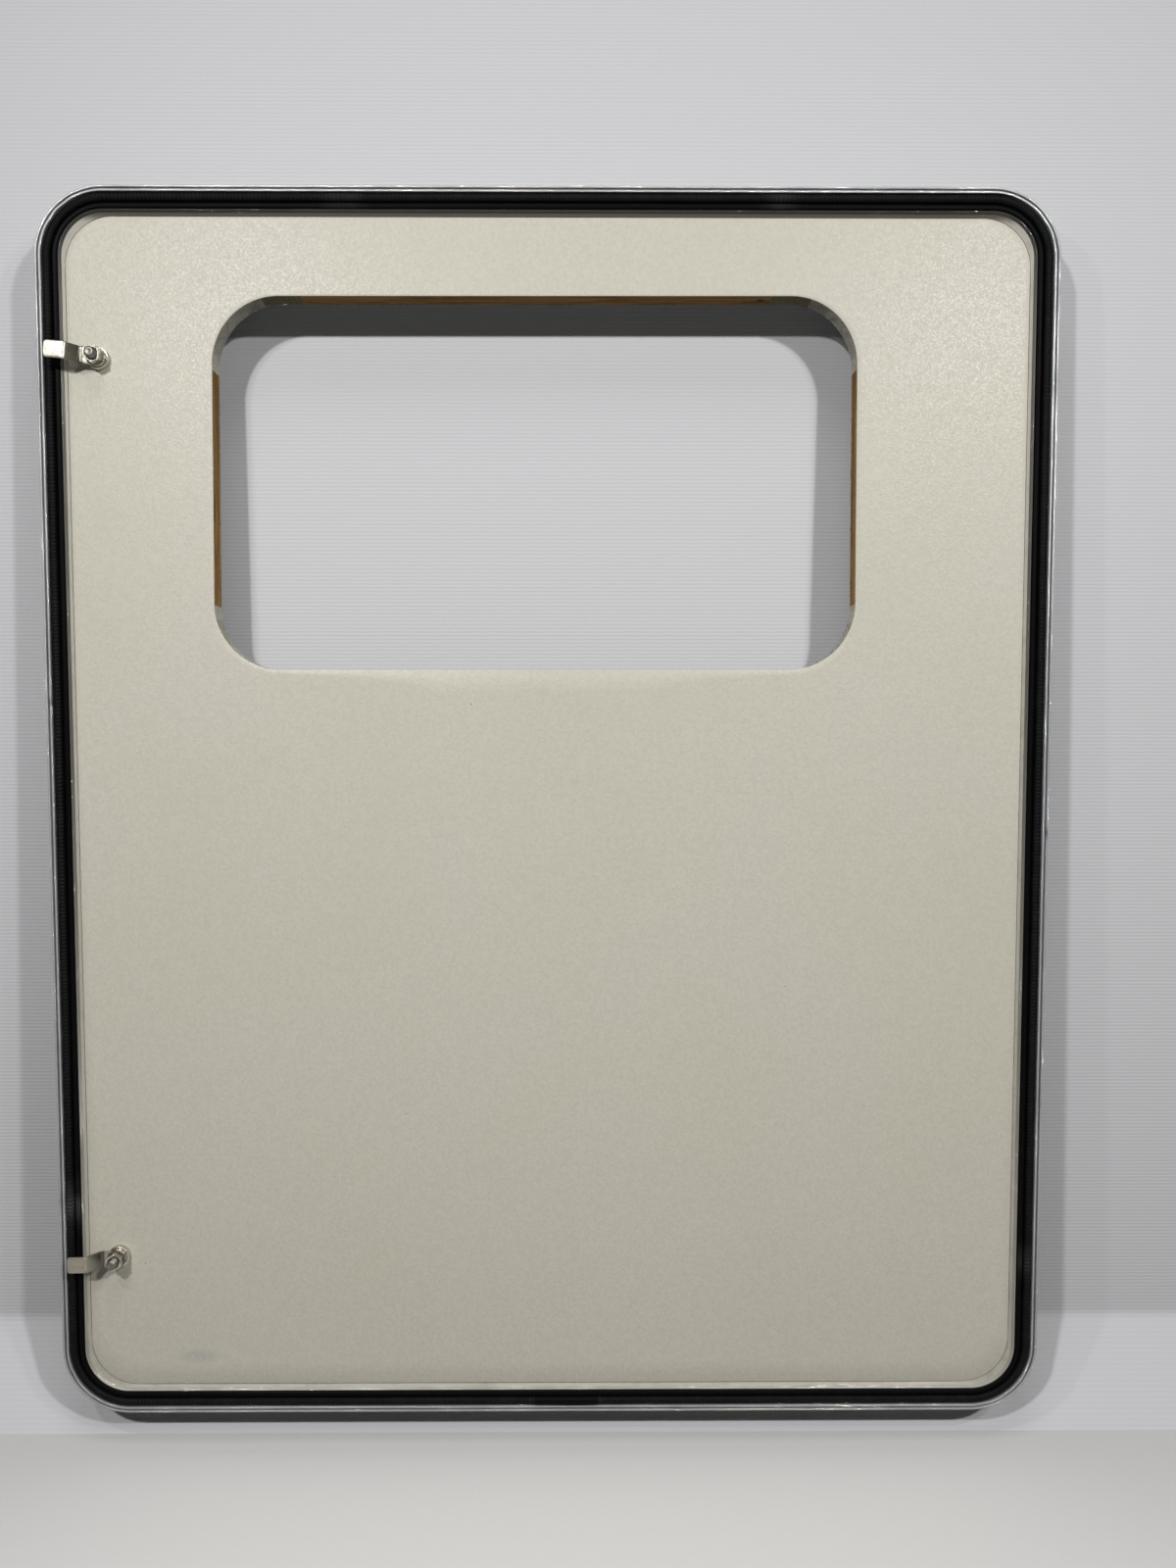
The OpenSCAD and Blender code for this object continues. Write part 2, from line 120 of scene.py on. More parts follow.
class HatchLeafSizes(bpy.types.PropertyGroup):
    """Sizes of the sandwich panel and its edge frame."""

    width: length("Width", LEAF_WIDTH, "Width of the leaf over its edge frame")
    height: length("Height", LEAF_HEIGHT, "Height of the leaf over its edge frame")
    corner: length("Corner Radius", 74 * MM, "Outer corner radius of the edge frame")
    rim: length("Rim Height", 5 * MM, "Height of the rim above the inner sheet")
    channel_from: length("Channel Start", 6.2 * MM, "Distance from the edge to the seal's channel")
    channel_to: length("Channel End", 24.8 * MM, "Distance from the edge to the inner lip")
    lip_to: length("Lip End", 27.7 * MM, "Distance from the edge to the low side of the lip")
    lip_low: length("Lip Low Height", 1.7 * MM, "Height of the lip's low side above the sheet")
    sheet_inset: length("Sheet Inset", 31.0 * MM, "Distance from the edge to the inner sheet")
    sheet_corner: length("Sheet Corner Radius", 52 * MM, "Corner radius of the inner sheet")
    joint: length("Joint Width", 0.7 * MM, "Width of the open joint round the inner sheet")
    sheet: length("Sheet Thickness", 1.5 * MM, "Thickness of each sheet")
    core: length("Core Thickness", 24 * MM, "Thickness of the foam core and battens")
    flange: length("Flange Width", 24 * MM, "Width of the flange over the outer sheet")
    flange_thick: length("Flange Thickness", 2 * MM, "Thickness of that flange")
    ripple: length("Rim Ripple", 0.22 * MM, "Waviness that the bending left in the rim")


class HatchCutoutSizes(bpy.types.PropertyGroup):
    """Sizes of the window cut-out and of what shows in it."""

    width: length("Width", 700 * MM, "Width of the cut-out")
    height: length("Height", 400 * MM, "Height of the cut-out")
    corner: length("Corner Radius", 72 * MM, "Corner radius of the cut-out")
    from_left: length("From Latch Edge", 185 * MM, "Distance from the latch edge")
    from_top: length("From Top", 114 * MM, "Distance from the top of the leaf")
    depth: length("Batten Depth", 38 * MM, "Depth of the battens behind the cut face")
    roughness: length("Saw Roughness", 0.35 * MM, "Roughness that the saw left on the cut face")


class HatchSealSizes(bpy.types.PropertyGroup):
    """Sizes of the rubber seal."""

    bulb: length("Bulb Radius", 5 * MM, "Radius of the ribbed outer bulb")
    bulb_from: length("Bulb Axis Distance", 11.7 * MM, "Distance from the edge to the bulb's axis")
    bulb_height: length("Bulb Axis Height", 1.4 * MM, "Height of the bulb's axis above the sheet")
    lobe: length("Lobe Radius", 4 * MM, "Radius of the smooth inner lobe")
    lobe_from: length("Lobe Axis Distance", 20.3 * MM, "Distance from the edge to the lobe's axis")
    lobe_height: length("Lobe Axis Height", 0.2 * MM, "Height of the lobe's axis above the sheet")
    rib_pitch: length("Rib Pitch", 4.15 * MM, "Distance from one rib to the next")
    rib_depth: length("Rib Depth", 0.75 * MM, "Depth of the grooves between the ribs")
    joint_from_left: length("Joint Position", 567 * MM, "Distance of the joint from the latch edge")
    joint_length: length("Joint Length", 72 * MM, "Length of the joint piece")


class HatchLatchSizes(bpy.types.PropertyGroup):
    """Sizes of the two cam latches."""

    from_left: length("From Latch Edge", 65 * MM, "Distance of the axes from the latch edge")
    from_end: length("From Ends", 181 * MM, "Distance of the axes from the top and bottom")
    spindle: length("Spindle Diameter", 11 * MM, "Diameter of the threaded spindle")
    spindle_tip: length("Spindle Tip Height", 28 * MM, "Height of the spindle's tip")
    thread_pitch: length("Thread Pitch", 1.5 * MM, "Pitch of the spindle's thread")
    nut: length("Nut Width", 17 * MM, "Width of the nut across its flats")
    nut_from: length("Nut Base Height", 12.9 * MM, "Height of the nut's base")
    nut_thick: length("Nut Height", 7.5 * MM, "Height of the nut")
    washer: length("Washer Diameter", 21 * MM, "Outer diameter of the toothed washer")
    cam_width: length("Cam Width", 18 * MM, "Width of the cam")
    cam_thick: length("Cam Thickness", 3 * MM, "Thickness of the cam")
    cam_reach: length("Cam Reach", 49 * MM, "Reach of the cam from its axis")
    cam_rise: length("Cam Rise", 13 * MM, "Rise of the tongue over the cam's base")
    collar: length("Collar Diameter", 24 * MM, "Diameter of the collar on the inner sheet")
    teeth: IntProperty(
        name="Washer Teeth", description="Number of teeth on the washer", default=22, min=6, max=60
    )


class HatchFinishes(bpy.types.PropertyGroup):
    """Colours of the leaf's finishes."""

    sheet: colour("Inner Sheet", (203, 198, 184), "Paint of the inner sheet")
    outer: colour("Outer Sheet", (222, 221, 215), "Paint of the outer sheet")
    aluminium: colour("Aluminium", (170, 171, 171), "Dull aluminium of the edge frame")
    # The lip's three colours grade it by height, light low down and dark at the top: painted light
    # and shade, not oxide or grime.
    lip: colour("Lip", (150, 146, 136), "Oxidised lip of the edge frame along the bottom")
    lip_middle_shade: colour("Lip Dull", (90, 86, 79), "The same lip half way up")
    lip_top_shade: colour("Lip Dark", (44, 42, 38), "Grimy lip along the top of the leaf")
    sealant: colour("Sealant", (176, 172, 160), "Sealant between lip and inner sheet")
    # Sealant Dark is painted shade on the sealant along the top of the leaf, not grime.
    sealant_top_shade: colour("Sealant Dark", (92, 87, 78), "Grimy sealant along the top of the leaf")
    rubber: colour("Rubber", (5, 5, 6), "Black rubber of the seal")
    wood: colour("Wood", (198, 158, 96), "Light grain of the battens")
    wood_dark: colour("Wood Dark", (124, 88, 42), "Dark grain of the battens")
    packing: colour("Packing", (150, 141, 110), "Packing pieces beside the battens")
    glue: colour("Glue", (206, 202, 190), "Foamed glue beside the side battens")
    foam: colour("Foam", (234, 231, 218), "Foam core")
    nickel: colour("Bright Plating", (206, 202, 190), "Bright plating of the upper cam and nuts")
    zinc: colour("Dull Plating", (172, 164, 152), "Dull plating of the lower cam")
    steel: colour("Spindle Steel", (128, 126, 118), "Bare steel of the spindles")


class HatchStage(bpy.types.PropertyGroup):
    """Floor, backdrop and lamps. They aren't part of the leaf."""

    floor_gap: length("Floor Gap", 45 * MM, "Height of the leaf's bottom above the floor")
    wall_top: length("Backdrop at Top", 60 * MM, "How far the backdrop is behind the sheet, top")
    wall_bottom: length("Backdrop at Bottom", 118 * MM, "The same at the bottom")
    backdrop: colour("Backdrop", (212, 212, 214), "Paper of the backdrop")
    floor: colour("Floor", (226, 225, 224), "Paper of the floor")
    bounce: colour("Paper Bounce", (106, 106, 106), "Paper as it throws light back on the leaf")
    main_lamp: power("Main Lamp", 27.6, "Power of each of the two high front lamps")
    side_lamp: power("Side Lamp", 3.4, "Power of the left small lamp; the right has 1.6 of it")
    high_lamp: power("High Lamp", 14.0, "Power of the wide lamp above the floor")
    back_lamp: power("Back Lamp", 60.0, "Power of the lamp behind the leaf")
    ambient: brightness("Ambient", 0.02, "Even light of the room")
    mirrored: brightness("Mirrored Room", 0.06, "Brightness of the room in metal")


# Shapes. An outline is the width, height and corner radius of a rectangle with round corners.


def placed(x, y, h):
    """Frame places of flat places: X = x - half the leaf, Y = inner face - h, Z = y."""
    x, y, h = np.broadcast_arrays(x, y, h)
    return np.stack([x - LEAF_WIDTH / 2, INNER_FACE - h, y], axis=-1)


def outline_of(sizes):
    """Outline of the leaf or of the cut-out."""
    return sizes.width, sizes.height, sizes.corner


def outline_length(outline):
    """Four straight stretches and a whole circle."""
    width, height, radius = outline
    return 2 * (width + height) - (8 - 2 * math.pi) * radius


def along_outline(s, outline):
    """Point and outward direction at arc length s on an outline.

    It starts at the middle of the bottom side and runs right, up, left and down in nine
    stretches. A straight one is its start plus the way past it; an arc is its centre plus
    radius times the outward direction, which turns by way over radius. s wraps round.
    """
    w, h, r = outline[0] / 2, outline[1] / 2, outline[2]
    arc = math.pi * r / 2
    lengths = np.array(
        [w - r, arc, 2 * (h - r), arc, 2 * (w - r), arc, 2 * (h - r), arc, w - r]
    )
    begins = np.concatenate(([0.0], np.cumsum(lengths)))
    s = np.mod(np.asarray(s, float), begins[-1])
    k = np.clip(np.searchsorted(begins, s, side="right") - 1, 0, 8)
    past = s - begins[k]
    bend = k % 2 == 1
    heading = (math.pi / 2) * (k // 2) + np.where(bend, past / r, 0.0)
    forward = np.stack([np.cos(heading), np.sin(heading)], axis=-1)
    outward = np.stack([np.sin(heading), -np.cos(heading)], axis=-1)
    base = np.array([
        [0, -h], [w - r, r - h], [w, r - h], [w - r, h - r], [w - r, h], [r - w, h - r],
        [-w, h - r], [r - w, r - h], [r - w, -h],
    ])[k]
    way = np.where(bend, r, past)[..., None]
    return base + way * np.where(bend[..., None], outward, forward), outward


def outline_steps(outline, straight, bends):
    """Arc lengths, one per `straight` metres on the sides and `bends` on each arc."""
    width, height, radius = outline
    side_w, side_h = width - 2 * radius, height - 2 * radius
    steps_w, steps_h = max(2, round(side_w / straight)), max(2, round(side_h / straight))
    arc, upright = (math.pi * radius / 2, bends), (side_h, steps_h)
    half_side = (side_w / 2, max(1, steps_w // 2))
    stretches = (half_side, arc, upright, arc, (side_w, steps_w), arc, upright, arc, half_side)
    begin, pieces = 0.0, []
    for way, count in stretches:
        pieces.append(begin + np.linspace(0, way, count, endpoint=False))
        begin += way
    return np.concatenate(pieces)


def nearest_on(outline, from_left, from_top, middle=(0.0, 0.0), samples=20000):
    """Arc length of the outline's point nearest to a spot, from even samples.

    The spot is in millimetres from the leaf's left and top edges, and the outline lies round
    a middle given from the leaf's.
    """
    leaf = bpy.context.scene.hatch_leaf
    x = from_left * MM - leaf.width / 2 - middle[0]
    y = leaf.height / 2 - from_top * MM - middle[1]
    s = np.linspace(0, outline_length(outline), samples, endpoint=False)
    points, _ = along_outline(s, outline)
    return float(s[np.argmin(np.hypot(points[:, 0] - x, points[:, 1] - y))])


def meet_outline(start, way, outline, centre=(0.0, 0.0), reach=3.0, steps=44, inside=True):
    """Where lines that start inside or outside an outline meet it, no further than reach.

    Bisection on the distance to its edge: the length of the part of (|p| - half + r) above 0,
    plus the part of its larger side below 0, less r, is negative inside.
    """
    width, height, radius = outline
    low, high = np.zeros(len(way)), np.full(len(way), reach)
    half = np.array([width / 2 - radius, height / 2 - radius])
    for _ in range(steps):
        middle = (low + high) / 2
        q = np.abs(start + middle[:, None] * way - centre) - half
        away = np.hypot(*np.maximum(q, 0).T) + np.minimum(q.max(1), 0) - radius
        short = away < 0 if inside else away > 0
        low, high = np.where(short, middle, low), np.where(short, high, middle)
    return start + low[:, None] * way


def chain_lengths(points):
    """Length along a chain of points, from 0 at the first."""
    return np.concatenate(([0.0], np.cumsum(np.linalg.norm(np.diff(points, axis=0), axis=1))))


def rounded_section(corners, radii, steps):
    """A closed section with its corners rounded, from corners and radii in millimetres.

    Each corner is the curve (1-t)^2 a + 2t(1-t) p + t^2 b, where a and b lie on the two
    sides at radius over the tangent of half the corner's angle from the corner p.
    """
    p, radii = np.array(corners, float) * MM, np.array(radii, float) * MM
    to_last, to_next = np.roll(p, 1, 0) - p, np.roll(p, -1, 0) - p
    long_last, long_next = np.linalg.norm(to_last, axis=1), np.linalg.norm(to_next, axis=1)
    a, b = to_last / long_last[:, None], to_next / long_next[:, None]
    half = np.arccos(np.clip((a * b).sum(1), -0.9999, 0.9999)) / 2
    way = np.minimum(radii / np.tan(half), 0.49 * np.minimum(long_last, long_next))[:, None]
    t = np.linspace(0, 1, steps)[None, :, None]
    a, b, p = (p + a * way)[:, None], (p + b * way)[:, None], p[:, None]
    curve = (1 - t) ** 2 * a + 2 * t * (1 - t) * p + t**2 * b
    return curve.reshape(-1, 2)


def wobble(s, seed, reach, shortest, longest, waves=7):
    """Seeded sum of sines of random length and phase, at most about `reach` high."""
    draw = np.random.default_rng(seed)
    lengths = np.exp(draw.uniform(math.log(shortest), math.log(longest), waves))
    phases = draw.uniform(0, 2 * math.pi, waves)
    s = np.asarray(s, float)[..., None]
    return reach * np.sin(2 * math.pi * s / lengths + phases).sum(-1) / math.sqrt(waves * 2)


def hump(s, middle, half, period=None):
    """A smooth bump: half a cosine wave that is 1 at the middle and 0 beyond half."""
    away = np.asarray(s, float) - middle
    if period:
        away = (away + period / 2) % period - period / 2
    return np.where(np.abs(away) < half, 0.5 + 0.5 * np.cos(math.pi * away / half), 0.0)


def surface(name, points, material, body, u=None, v=None, loop_u=False, loop_v=True,
            shut_ends=False, flat_over=32, values=None):
    """A closed mesh of a grid of points (rows along u, columns along v).

    The grid is joined to itself along u or v where asked. Open ends are shut by a row that
    lies in the end row's middle. Points in one place become one vertex, and faces that lose a
    corner by that become triangles. Where the signed volume, the sum of a.(b x c) over the
    triangles, is negative, all faces are turned round. Edges sharper than flat_over degrees
    stay hard, and values become the points' wear.
    """
    points = np.asarray(points, float)
    rows, columns = points.shape[:2]
    u = np.arange(rows, dtype=float) if u is None else np.asarray(u, float)
    v = np.arange(columns, dtype=float) if v is None else np.asarray(v, float)
    if shut_ends:
        first = np.broadcast_to(points[:1].mean(1, keepdims=True), points[:1].shape)
        last = np.broadcast_to(points[-1:].mean(1, keepdims=True), points[-1:].shape)
        points = np.concatenate([first, points, last])
        u = np.concatenate([u[:1], u, u[-1:]])
        if values is not None:
            values = np.concatenate([values[:1], values, values[-1:]])
        rows += 2
    last_u, last_v = rows if loop_u else rows - 1, columns if loop_v else columns - 1
    i, j = np.meshgrid(np.arange(last_u), np.arange(last_v), indexing="ij")
    ring = [(i, j), (i + 1, j), (i + 1, j + 1), (i, j + 1)]
    quads = np.stack([(a % rows) * columns + b % columns for a, b in ring], -1).reshape(-1, 4)
    u_long = np.append(u, 2 * u[-1] - u[-2]) if loop_u else u
    v_long = np.append(v, 2 * v[-1] - v[-2]) if loop_v else v
    flat_uv = np.stack(
        [np.stack([u_long[a], v_long[b]], -1) for a, b in ring], -2
    ).reshape(-1, 4, 2)

    flat = np.round(points.reshape(-1, 3), 8)
    _, kept, into = np.unique(flat, axis=0, return_index=True, return_inverse=True)
    quads = into.reshape(-1)[quads]
    corners = flat[kept]
    a, b, c, d = (corners[quads[:, n]] for n in range(4))
    volume = (a * np.cross(b, c)).sum() + (a * np.cross(c, d)).sum()
    if volume < 0:
        quads, flat_uv = quads[:, ::-1], flat_uv[:, ::-1]
    stays = quads != np.roll(quads, 1, axis=1)
    whole = (stays.sum(1) >= 3) & (quads[:, 0] != quads[:, 2]) & (quads[:, 1] != quads[:, 3])
    quads, flat_uv, stays = quads[whole], flat_uv[whole], stays[whole]
    loops = quads[stays]
    begins = np.concatenate(([0], np.cumsum(stays.sum(1))[:-1]))

    mesh = bpy.data.meshes.new(name)
    mesh.vertices.add(len(corners))
    mesh.vertices.foreach_set("co", corners.astype(np.float32).ravel())
    mesh.loops.add(len(loops))
    mesh.loops.foreach_set("vertex_index", loops.astype(np.int32))
    mesh.polygons.add(len(begins))
    mesh.polygons.foreach_set("loop_start", begins.astype(np.int32))
    mesh.update(calc_edges=True)
    layer = mesh.uv_layers.new(name="UVMap")
    layer.data.foreach_set("uv", flat_uv[stays].astype(np.float32).ravel())
    if values is not None:
        held = mesh.attributes.new("wear", "FLOAT", "POINT")
        held.data.foreach_set("value", np.asarray(values, np.float32).reshape(-1)[kept])
    mesh.validate()
    mesh.shade_smooth()
    mesh.set_sharp_from_angle(angle=math.radians(flat_over))
    mesh.materials.append(material)
    piece = bpy.data.objects.new(name, mesh)
    bpy.context.scene.collection.objects.link(piece)
    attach(piece, body)
    return piece


def swept(name, section, s, material, shift=None, raise_by=None, loop=True, values=None,
          flat_over=32):
    """A section carried along the leaf's outline: place = edge point - outward * distance.

    The section's columns are distance inward and height. shift and raise_by, arrays of
    (steps along, points of the section), are added to them.
    """
    edge, outward = along_outline(s, outline_of(bpy.context.scene.hatch_leaf))
    inward = np.broadcast_to(section[None, :, 0], (len(s), len(section)))
    height = np.broadcast_to(section[None, :, 1], (len(s), len(section)))
    if shift is not None:
        inward = inward + shift
    if raise_by is not None:
        height = height + raise_by
    flat = edge[:, None, :] - outward[:, None, :] * inward[..., None]
    return surface(name, placed(flat[..., 0], flat[..., 1], height), material, "leaf", u=s,
                   v=chain_lengths(section), loop_u=loop, shut_ends=not loop, values=values,
                   flat_over=flat_over)


def turned(name, profile, axis, material, body, steps, reach=None, flat_over=32):
    """A profile of radius and height turned about a latch axis.

    Place = axis + radius (cos a, sin a). reach gives what is added to the radius, from the
    angles, radii and heights.
    """
    profile = np.array(profile, float)
    angle = np.linspace(0, 2 * math.pi, steps, endpoint=False)
    radius = np.broadcast_to(profile[None, :, 0], (steps, len(profile)))
    if reach is not None:
        radius = radius + reach(angle[:, None], profile[None, :, 0], profile[None, :, 1])
    x = axis[0] + radius * np.cos(angle)[:, None]
    y = axis[1] + radius * np.sin(angle)[:, None]
    points = placed(x, y, np.broadcast_to(profile[None, :, 1], radius.shape))
    return surface(name, points, material, body, u=angle * 0.01, v=chain_lengths(profile),
                   loop_u=True, loop_v=profile[0, 0] > 1e-9, flat_over=flat_over)


# Finishes. Patterns read Object coordinates or the piece's UV map, both in metres.


def join(tree, value, socket):
    """Links a socket or sets a value; a colour of three parts gets its fourth."""
    if isinstance(value, bpy.types.NodeSocket):
        tree.links.new(value, socket)
    elif socket.type == "RGBA" and len(value) == 3:
        socket.default_value = (*value, 1.0)
    else:
        socket.default_value = value


def add_node(tree, kind, out=0, settings=None, numbered=None, **named):
    """Output of a new node, whose sockets are given by number or by name with underscores."""
    node = tree.nodes.new("ShaderNode" + kind)
    for key, value in (settings or {}).items():
        setattr(node, key, value)
    for key, value in (numbered or {}).items():
        join(tree, value, node.inputs[key])
    for key, value in named.items():
        join(tree, value, node.inputs[key.replace("_", " ")])
    return node.outputs[out]


class Finish:
    """A node material in the making."""

    def __init__(self, name, **sockets):
        self.material = bpy.data.materials.new(name)
        self.material.use_nodes = True
        self.tree = self.material.node_tree
        self.shader = self.tree.nodes["Principled BSDF"]
        self.place = self.add("TexCoord", "Object")
        self.along = None
        self.set(**sockets)

    def set(self, **sockets):
        """Values or links on the shader's own sockets, named with underscores."""
        for key, value in sockets.items():
            join(self.tree, value, self.shader.inputs[key.replace("_", " ")])
        return self.material

    def add(self, *args, **named):
        return add_node(self.tree, *args, **named)

    def uv(self):
        """Along the piece and round its section."""
        if self.along is None:
            self.along = self.add("UVMap", settings={"uv_map": "UVMap"})
        return self.along

    def scaled(self, x, y, z, where=None):
        return self.add("Mapping", Vector=where or self.place, Scale=(x, y, z))

    def axis(self, letter, where=None):
        """One coordinate of the place, or of another vector."""
        return self.add("SeparateXYZ", letter, Vector=where or self.place)

    def noise(self, scale, detail=3.0, rough=0.5, where=None, twist=0.0):
        return self.add("TexNoise", Vector=where or self.place, Scale=scale, Detail=detail,
                        Roughness=rough, Distortion=twist)

    def streaks(self, detail, rough, along, across):
        """Noise of different scales along the piece and round its section."""
        return self.noise(1.0, detail, rough, self.scaled(along, across, 1.0, self.uv()))

    def cells(self, scale, feature="F1"):
        return self.add("TexVoronoi", "Distance", {"feature": feature}, Vector=self.place,
                        Scale=scale)

    def wear(self):
        """What surface() kept on the points."""
        return self.add("Attribute", "Fac", {"attribute_name": "wear"})

    def spread(self, value, low, high, to_low=0.0, to_high=1.0):
        """Maps a value from one span to another, smoothly and held at the ends."""
        return self.add("MapRange", 0, {"interpolation_type": "SMOOTHSTEP"}, Value=value,
                        From_Min=low, From_Max=high, To_Min=to_low, To_Max=to_high)

    def band(self, value, low, low_soft, high, high_soft):
        """1 between low and high, and 0 before low and beyond high, with soft ends."""
        return self.maths("MULTIPLY", self.spread(value, low, low_soft),
                          self.spread(value, high, high_soft, 1.0, 0.0))

    def maths(self, operation, a, b):
        return self.add("Math", 0, {"operation": operation}, {0: a, 1: b})

    def blend(self, share, a, b, how="MIX"):
        return self.add("Mix", 2, {"data_type": "RGBA", "blend_type": how}, {0: share, 6: a, 7: b})

    def tinted(self, tone, tint):
        """A tone times a colour."""
        return self.blend(1.0, tone, tint, "MULTIPLY")

    def spot(self, at, radius, soft, where=None):
        """1 within a radius of a place and 0 beyond the soft edge."""
        away = self.add("VectorMath", "Value", {"operation": "DISTANCE"},
                        {0: where or self.place, 1: at})
        return self.spread(away, radius, radius + soft, 1.0, 0.0)

    def bump(self, height, distance, strength):
        return self.add("Bump", Height=height, Distance=distance, Strength=strength)


def darker(tone, share):
    return tuple(part * share for part in tone)


def leaf_point(from_left, from_top, h=0.0):
    """Frame place of a spot given in millimetres from the leaf's left and top edges."""
    x, y = from_left * MM - LEAF_WIDTH / 2, LEAF_HEIGHT / 2 - from_top * MM
    return tuple(float(c) for c in placed(x, y, h))


# Dark specks on the inner sheet and the smear near its foot: from left, from top, radius
SPECKS = ((93, 1181, 0.4), (463, 552, 0.45), (388, 1010, 0.25), (812, 866, 0.25), (902, 1002, 0.25))
SMEAR = (150, 1289)


def sheet_finish(colours):
    """Cream paint on a fine stucco grain, with small glints, dark specks and a faint smear."""
    f = Finish("inner_sheet_stucco", Specular_IOR_Level=0.36)
    mottle = f.spread(f.noise(300.0, 4.0, 0.66, twist=0.4), 0.36, 0.64)
    base = colours.sheet[:]
    tone = f.blend(mottle, darker(base, 0.95), darker(base, 1.04))
    broad = f.spread(f.noise(5.0, 2.0), 0.3, 0.7)
    tone = f.blend(broad, tone, f.tinted(tone, (0.985, 0.99, 0.97)))
    for x, y, radius in SPECKS:
        speck = f.spot(leaf_point(x, y), radius * MM, 0.7 * MM)
        tone = f.blend(speck, tone, (0.2, 0.19, 0.165))
    from_smear = f.add("Mapping", Vector=f.place, Location=darker(leaf_point(*SMEAR), -1))
    smear = f.spot((0, 0, 0), 2 * MM, 9 * MM, f.scaled(0.35, 1.0, 1.0, from_smear))
    tone = f.blend(f.maths("MULTIPLY", smear, f.noise(240.0)), tone, (0.42, 0.41, 0.38))
    height = f.maths("ADD", f.maths("MULTIPLY", f.noise(430.0, 4.0, 0.62), 0.6),
                     f.maths("MULTIPLY", f.cells(400.0, "SMOOTH_F1"), 0.5))
    return f.set(Base_Color=tone, Roughness=f.spread(f.noise(620.0, 2.0), 0.3, 0.7, 0.33, 0.58),
                 Normal=f.bump(height, 0.0005, 0.5))


def outer_finish(colours):
    """Glossy off-white sheet with light orange peel, dust and hairline scratches."""
    f = Finish("outer_sheet_gloss", Coat_Weight=0.25, Coat_Roughness=0.08)
    dust = f.spread(f.noise(9.0, 5.0, 0.65), 0.5, 0.78)
    base = colours.outer[:]
    scratch = f.noise(30.0, 6.0, 0.7, f.scaled(1.0, 1.0, 34.0))
    return f.set(Base_Color=f.blend(dust, base, darker(base, 0.9)),
                 Roughness=f.spread(scratch, 0.42, 0.7, 0.2, 0.38),
                 Normal=f.bump(f.noise(210.0, 2.0, 0.4), 0.0001, 0.3))


def aluminium_finish(colours, lip_begin, lip_end):
    """Dull aluminium with die lines along the extrusion, oxide patches, scuffs and painted light
    and shade on the lip.

    lip_begin and lip_end are the way round the section at which the lip starts and ends.
    """
    f = Finish("edge_aluminium")
    lines = f.streaks(3.0, 0.6, 2.5, 1500.0)
    lined = f.spread(lines, 0.35, 0.65)
    coarse = f.streaks(2.0, 0.5, 1.2, 420.0)
    patches = f.spread(f.noise(26.0, 4.0, 0.6), 0.42, 0.66)
    lip = f.band(f.axis("Y", f.uv()), lip_begin - 0.2 * MM, lip_begin + 0.2 * MM,
                 lip_end, lip_end + 0.3 * MM)
    up = f.axis("Z")
    base = colours.aluminium[:]
    tone = f.blend(patches, base, darker(base, 0.86))
    tone = f.blend(lined, f.tinted(tone, (0.9, 0.9, 0.9)), tone)
    # The lip's colour runs by height from the light lip colour low down to the dark one at the top:
    # painted light and shade for the lamps above. The die lines go over it.
    painted_lip_shade = f.blend(f.spread(up, -0.6, 0.2), colours.lip[:], colours.lip_middle_shade[:])
    painted_lip_shade = f.blend(f.spread(up, 0.52, 0.66), painted_lip_shade, colours.lip_top_shade[:])
    painted_lip_shade = f.blend(lined, f.tinted(painted_lip_shade, (0.85, 0.85, 0.85)), painted_lip_shade)
    tone = f.blend(f.wear(), f.blend(lip, tone, painted_lip_shade), (0.09, 0.088, 0.085))
    rough = f.maths("ADD", f.spread(coarse, 0.3, 0.7, 0.42, 0.56),
                    f.maths("MULTIPLY", patches, 0.1))
    return f.set(Base_Color=tone, Metallic=f.spread(lip, 0.0, 1.0, 0.45, 0.15), Roughness=rough,
                 Normal=f.bump(lines, 0.00006, 0.45))


def sealant_finish(colours):
    """Smoothed sealant: slight drag lines, a dull skin, random grime, and painted shade along the
    top of the leaf.
    """
    f = Finish("sealant_bead", Specular_IOR_Level=0.4)
    drag = f.streaks(3.0, 0.55, 18.0, 900.0)
    grime = f.spread(f.noise(60.0, 4.0, 0.6), 0.45, 0.75)
    base, top = colours.sealant[:], LEAF_HEIGHT / 2
    tone = f.blend(grime, base, darker(base, 0.82))
    # Darker along the top of the leaf: painted shade.
    tone = f.blend(f.spread(f.axis("Z"), top - 38 * MM, top - 29 * MM), tone,
                   colours.sealant_top_shade[:])
    return f.set(Base_Color=tone, Roughness=f.spread(drag, 0.3, 0.7, 0.38, 0.55),
                 Normal=f.bump(drag, 0.00012, 0.5))


def rubber_finish(colours, name, dust_share):
    """Black rubber with fine lines along it, pale dust, and grey where it is worn; the ribs' crests
    get a grey painted highlight.
    """
    f = Finish(name, Specular_IOR_Level=0.06)
    lines = f.streaks(2.0, 0.5, 5.0, 1300.0)
    dust = f.maths("MULTIPLY", f.spread(f.noise(75.0, 4.0, 0.62), 0.38, 0.72), dust_share)
    tone = f.blend(dust, colours.rubber[:], (0.007, 0.007, 0.0075))
    tone = f.blend(f.wear(), tone, (0.085, 0.085, 0.087))
    return f.set(Base_Color=tone, Roughness=f.spread(lines, 0.3, 0.7, 0.42, 0.58),
                 Normal=f.bump(lines, 0.00008, 0.4))


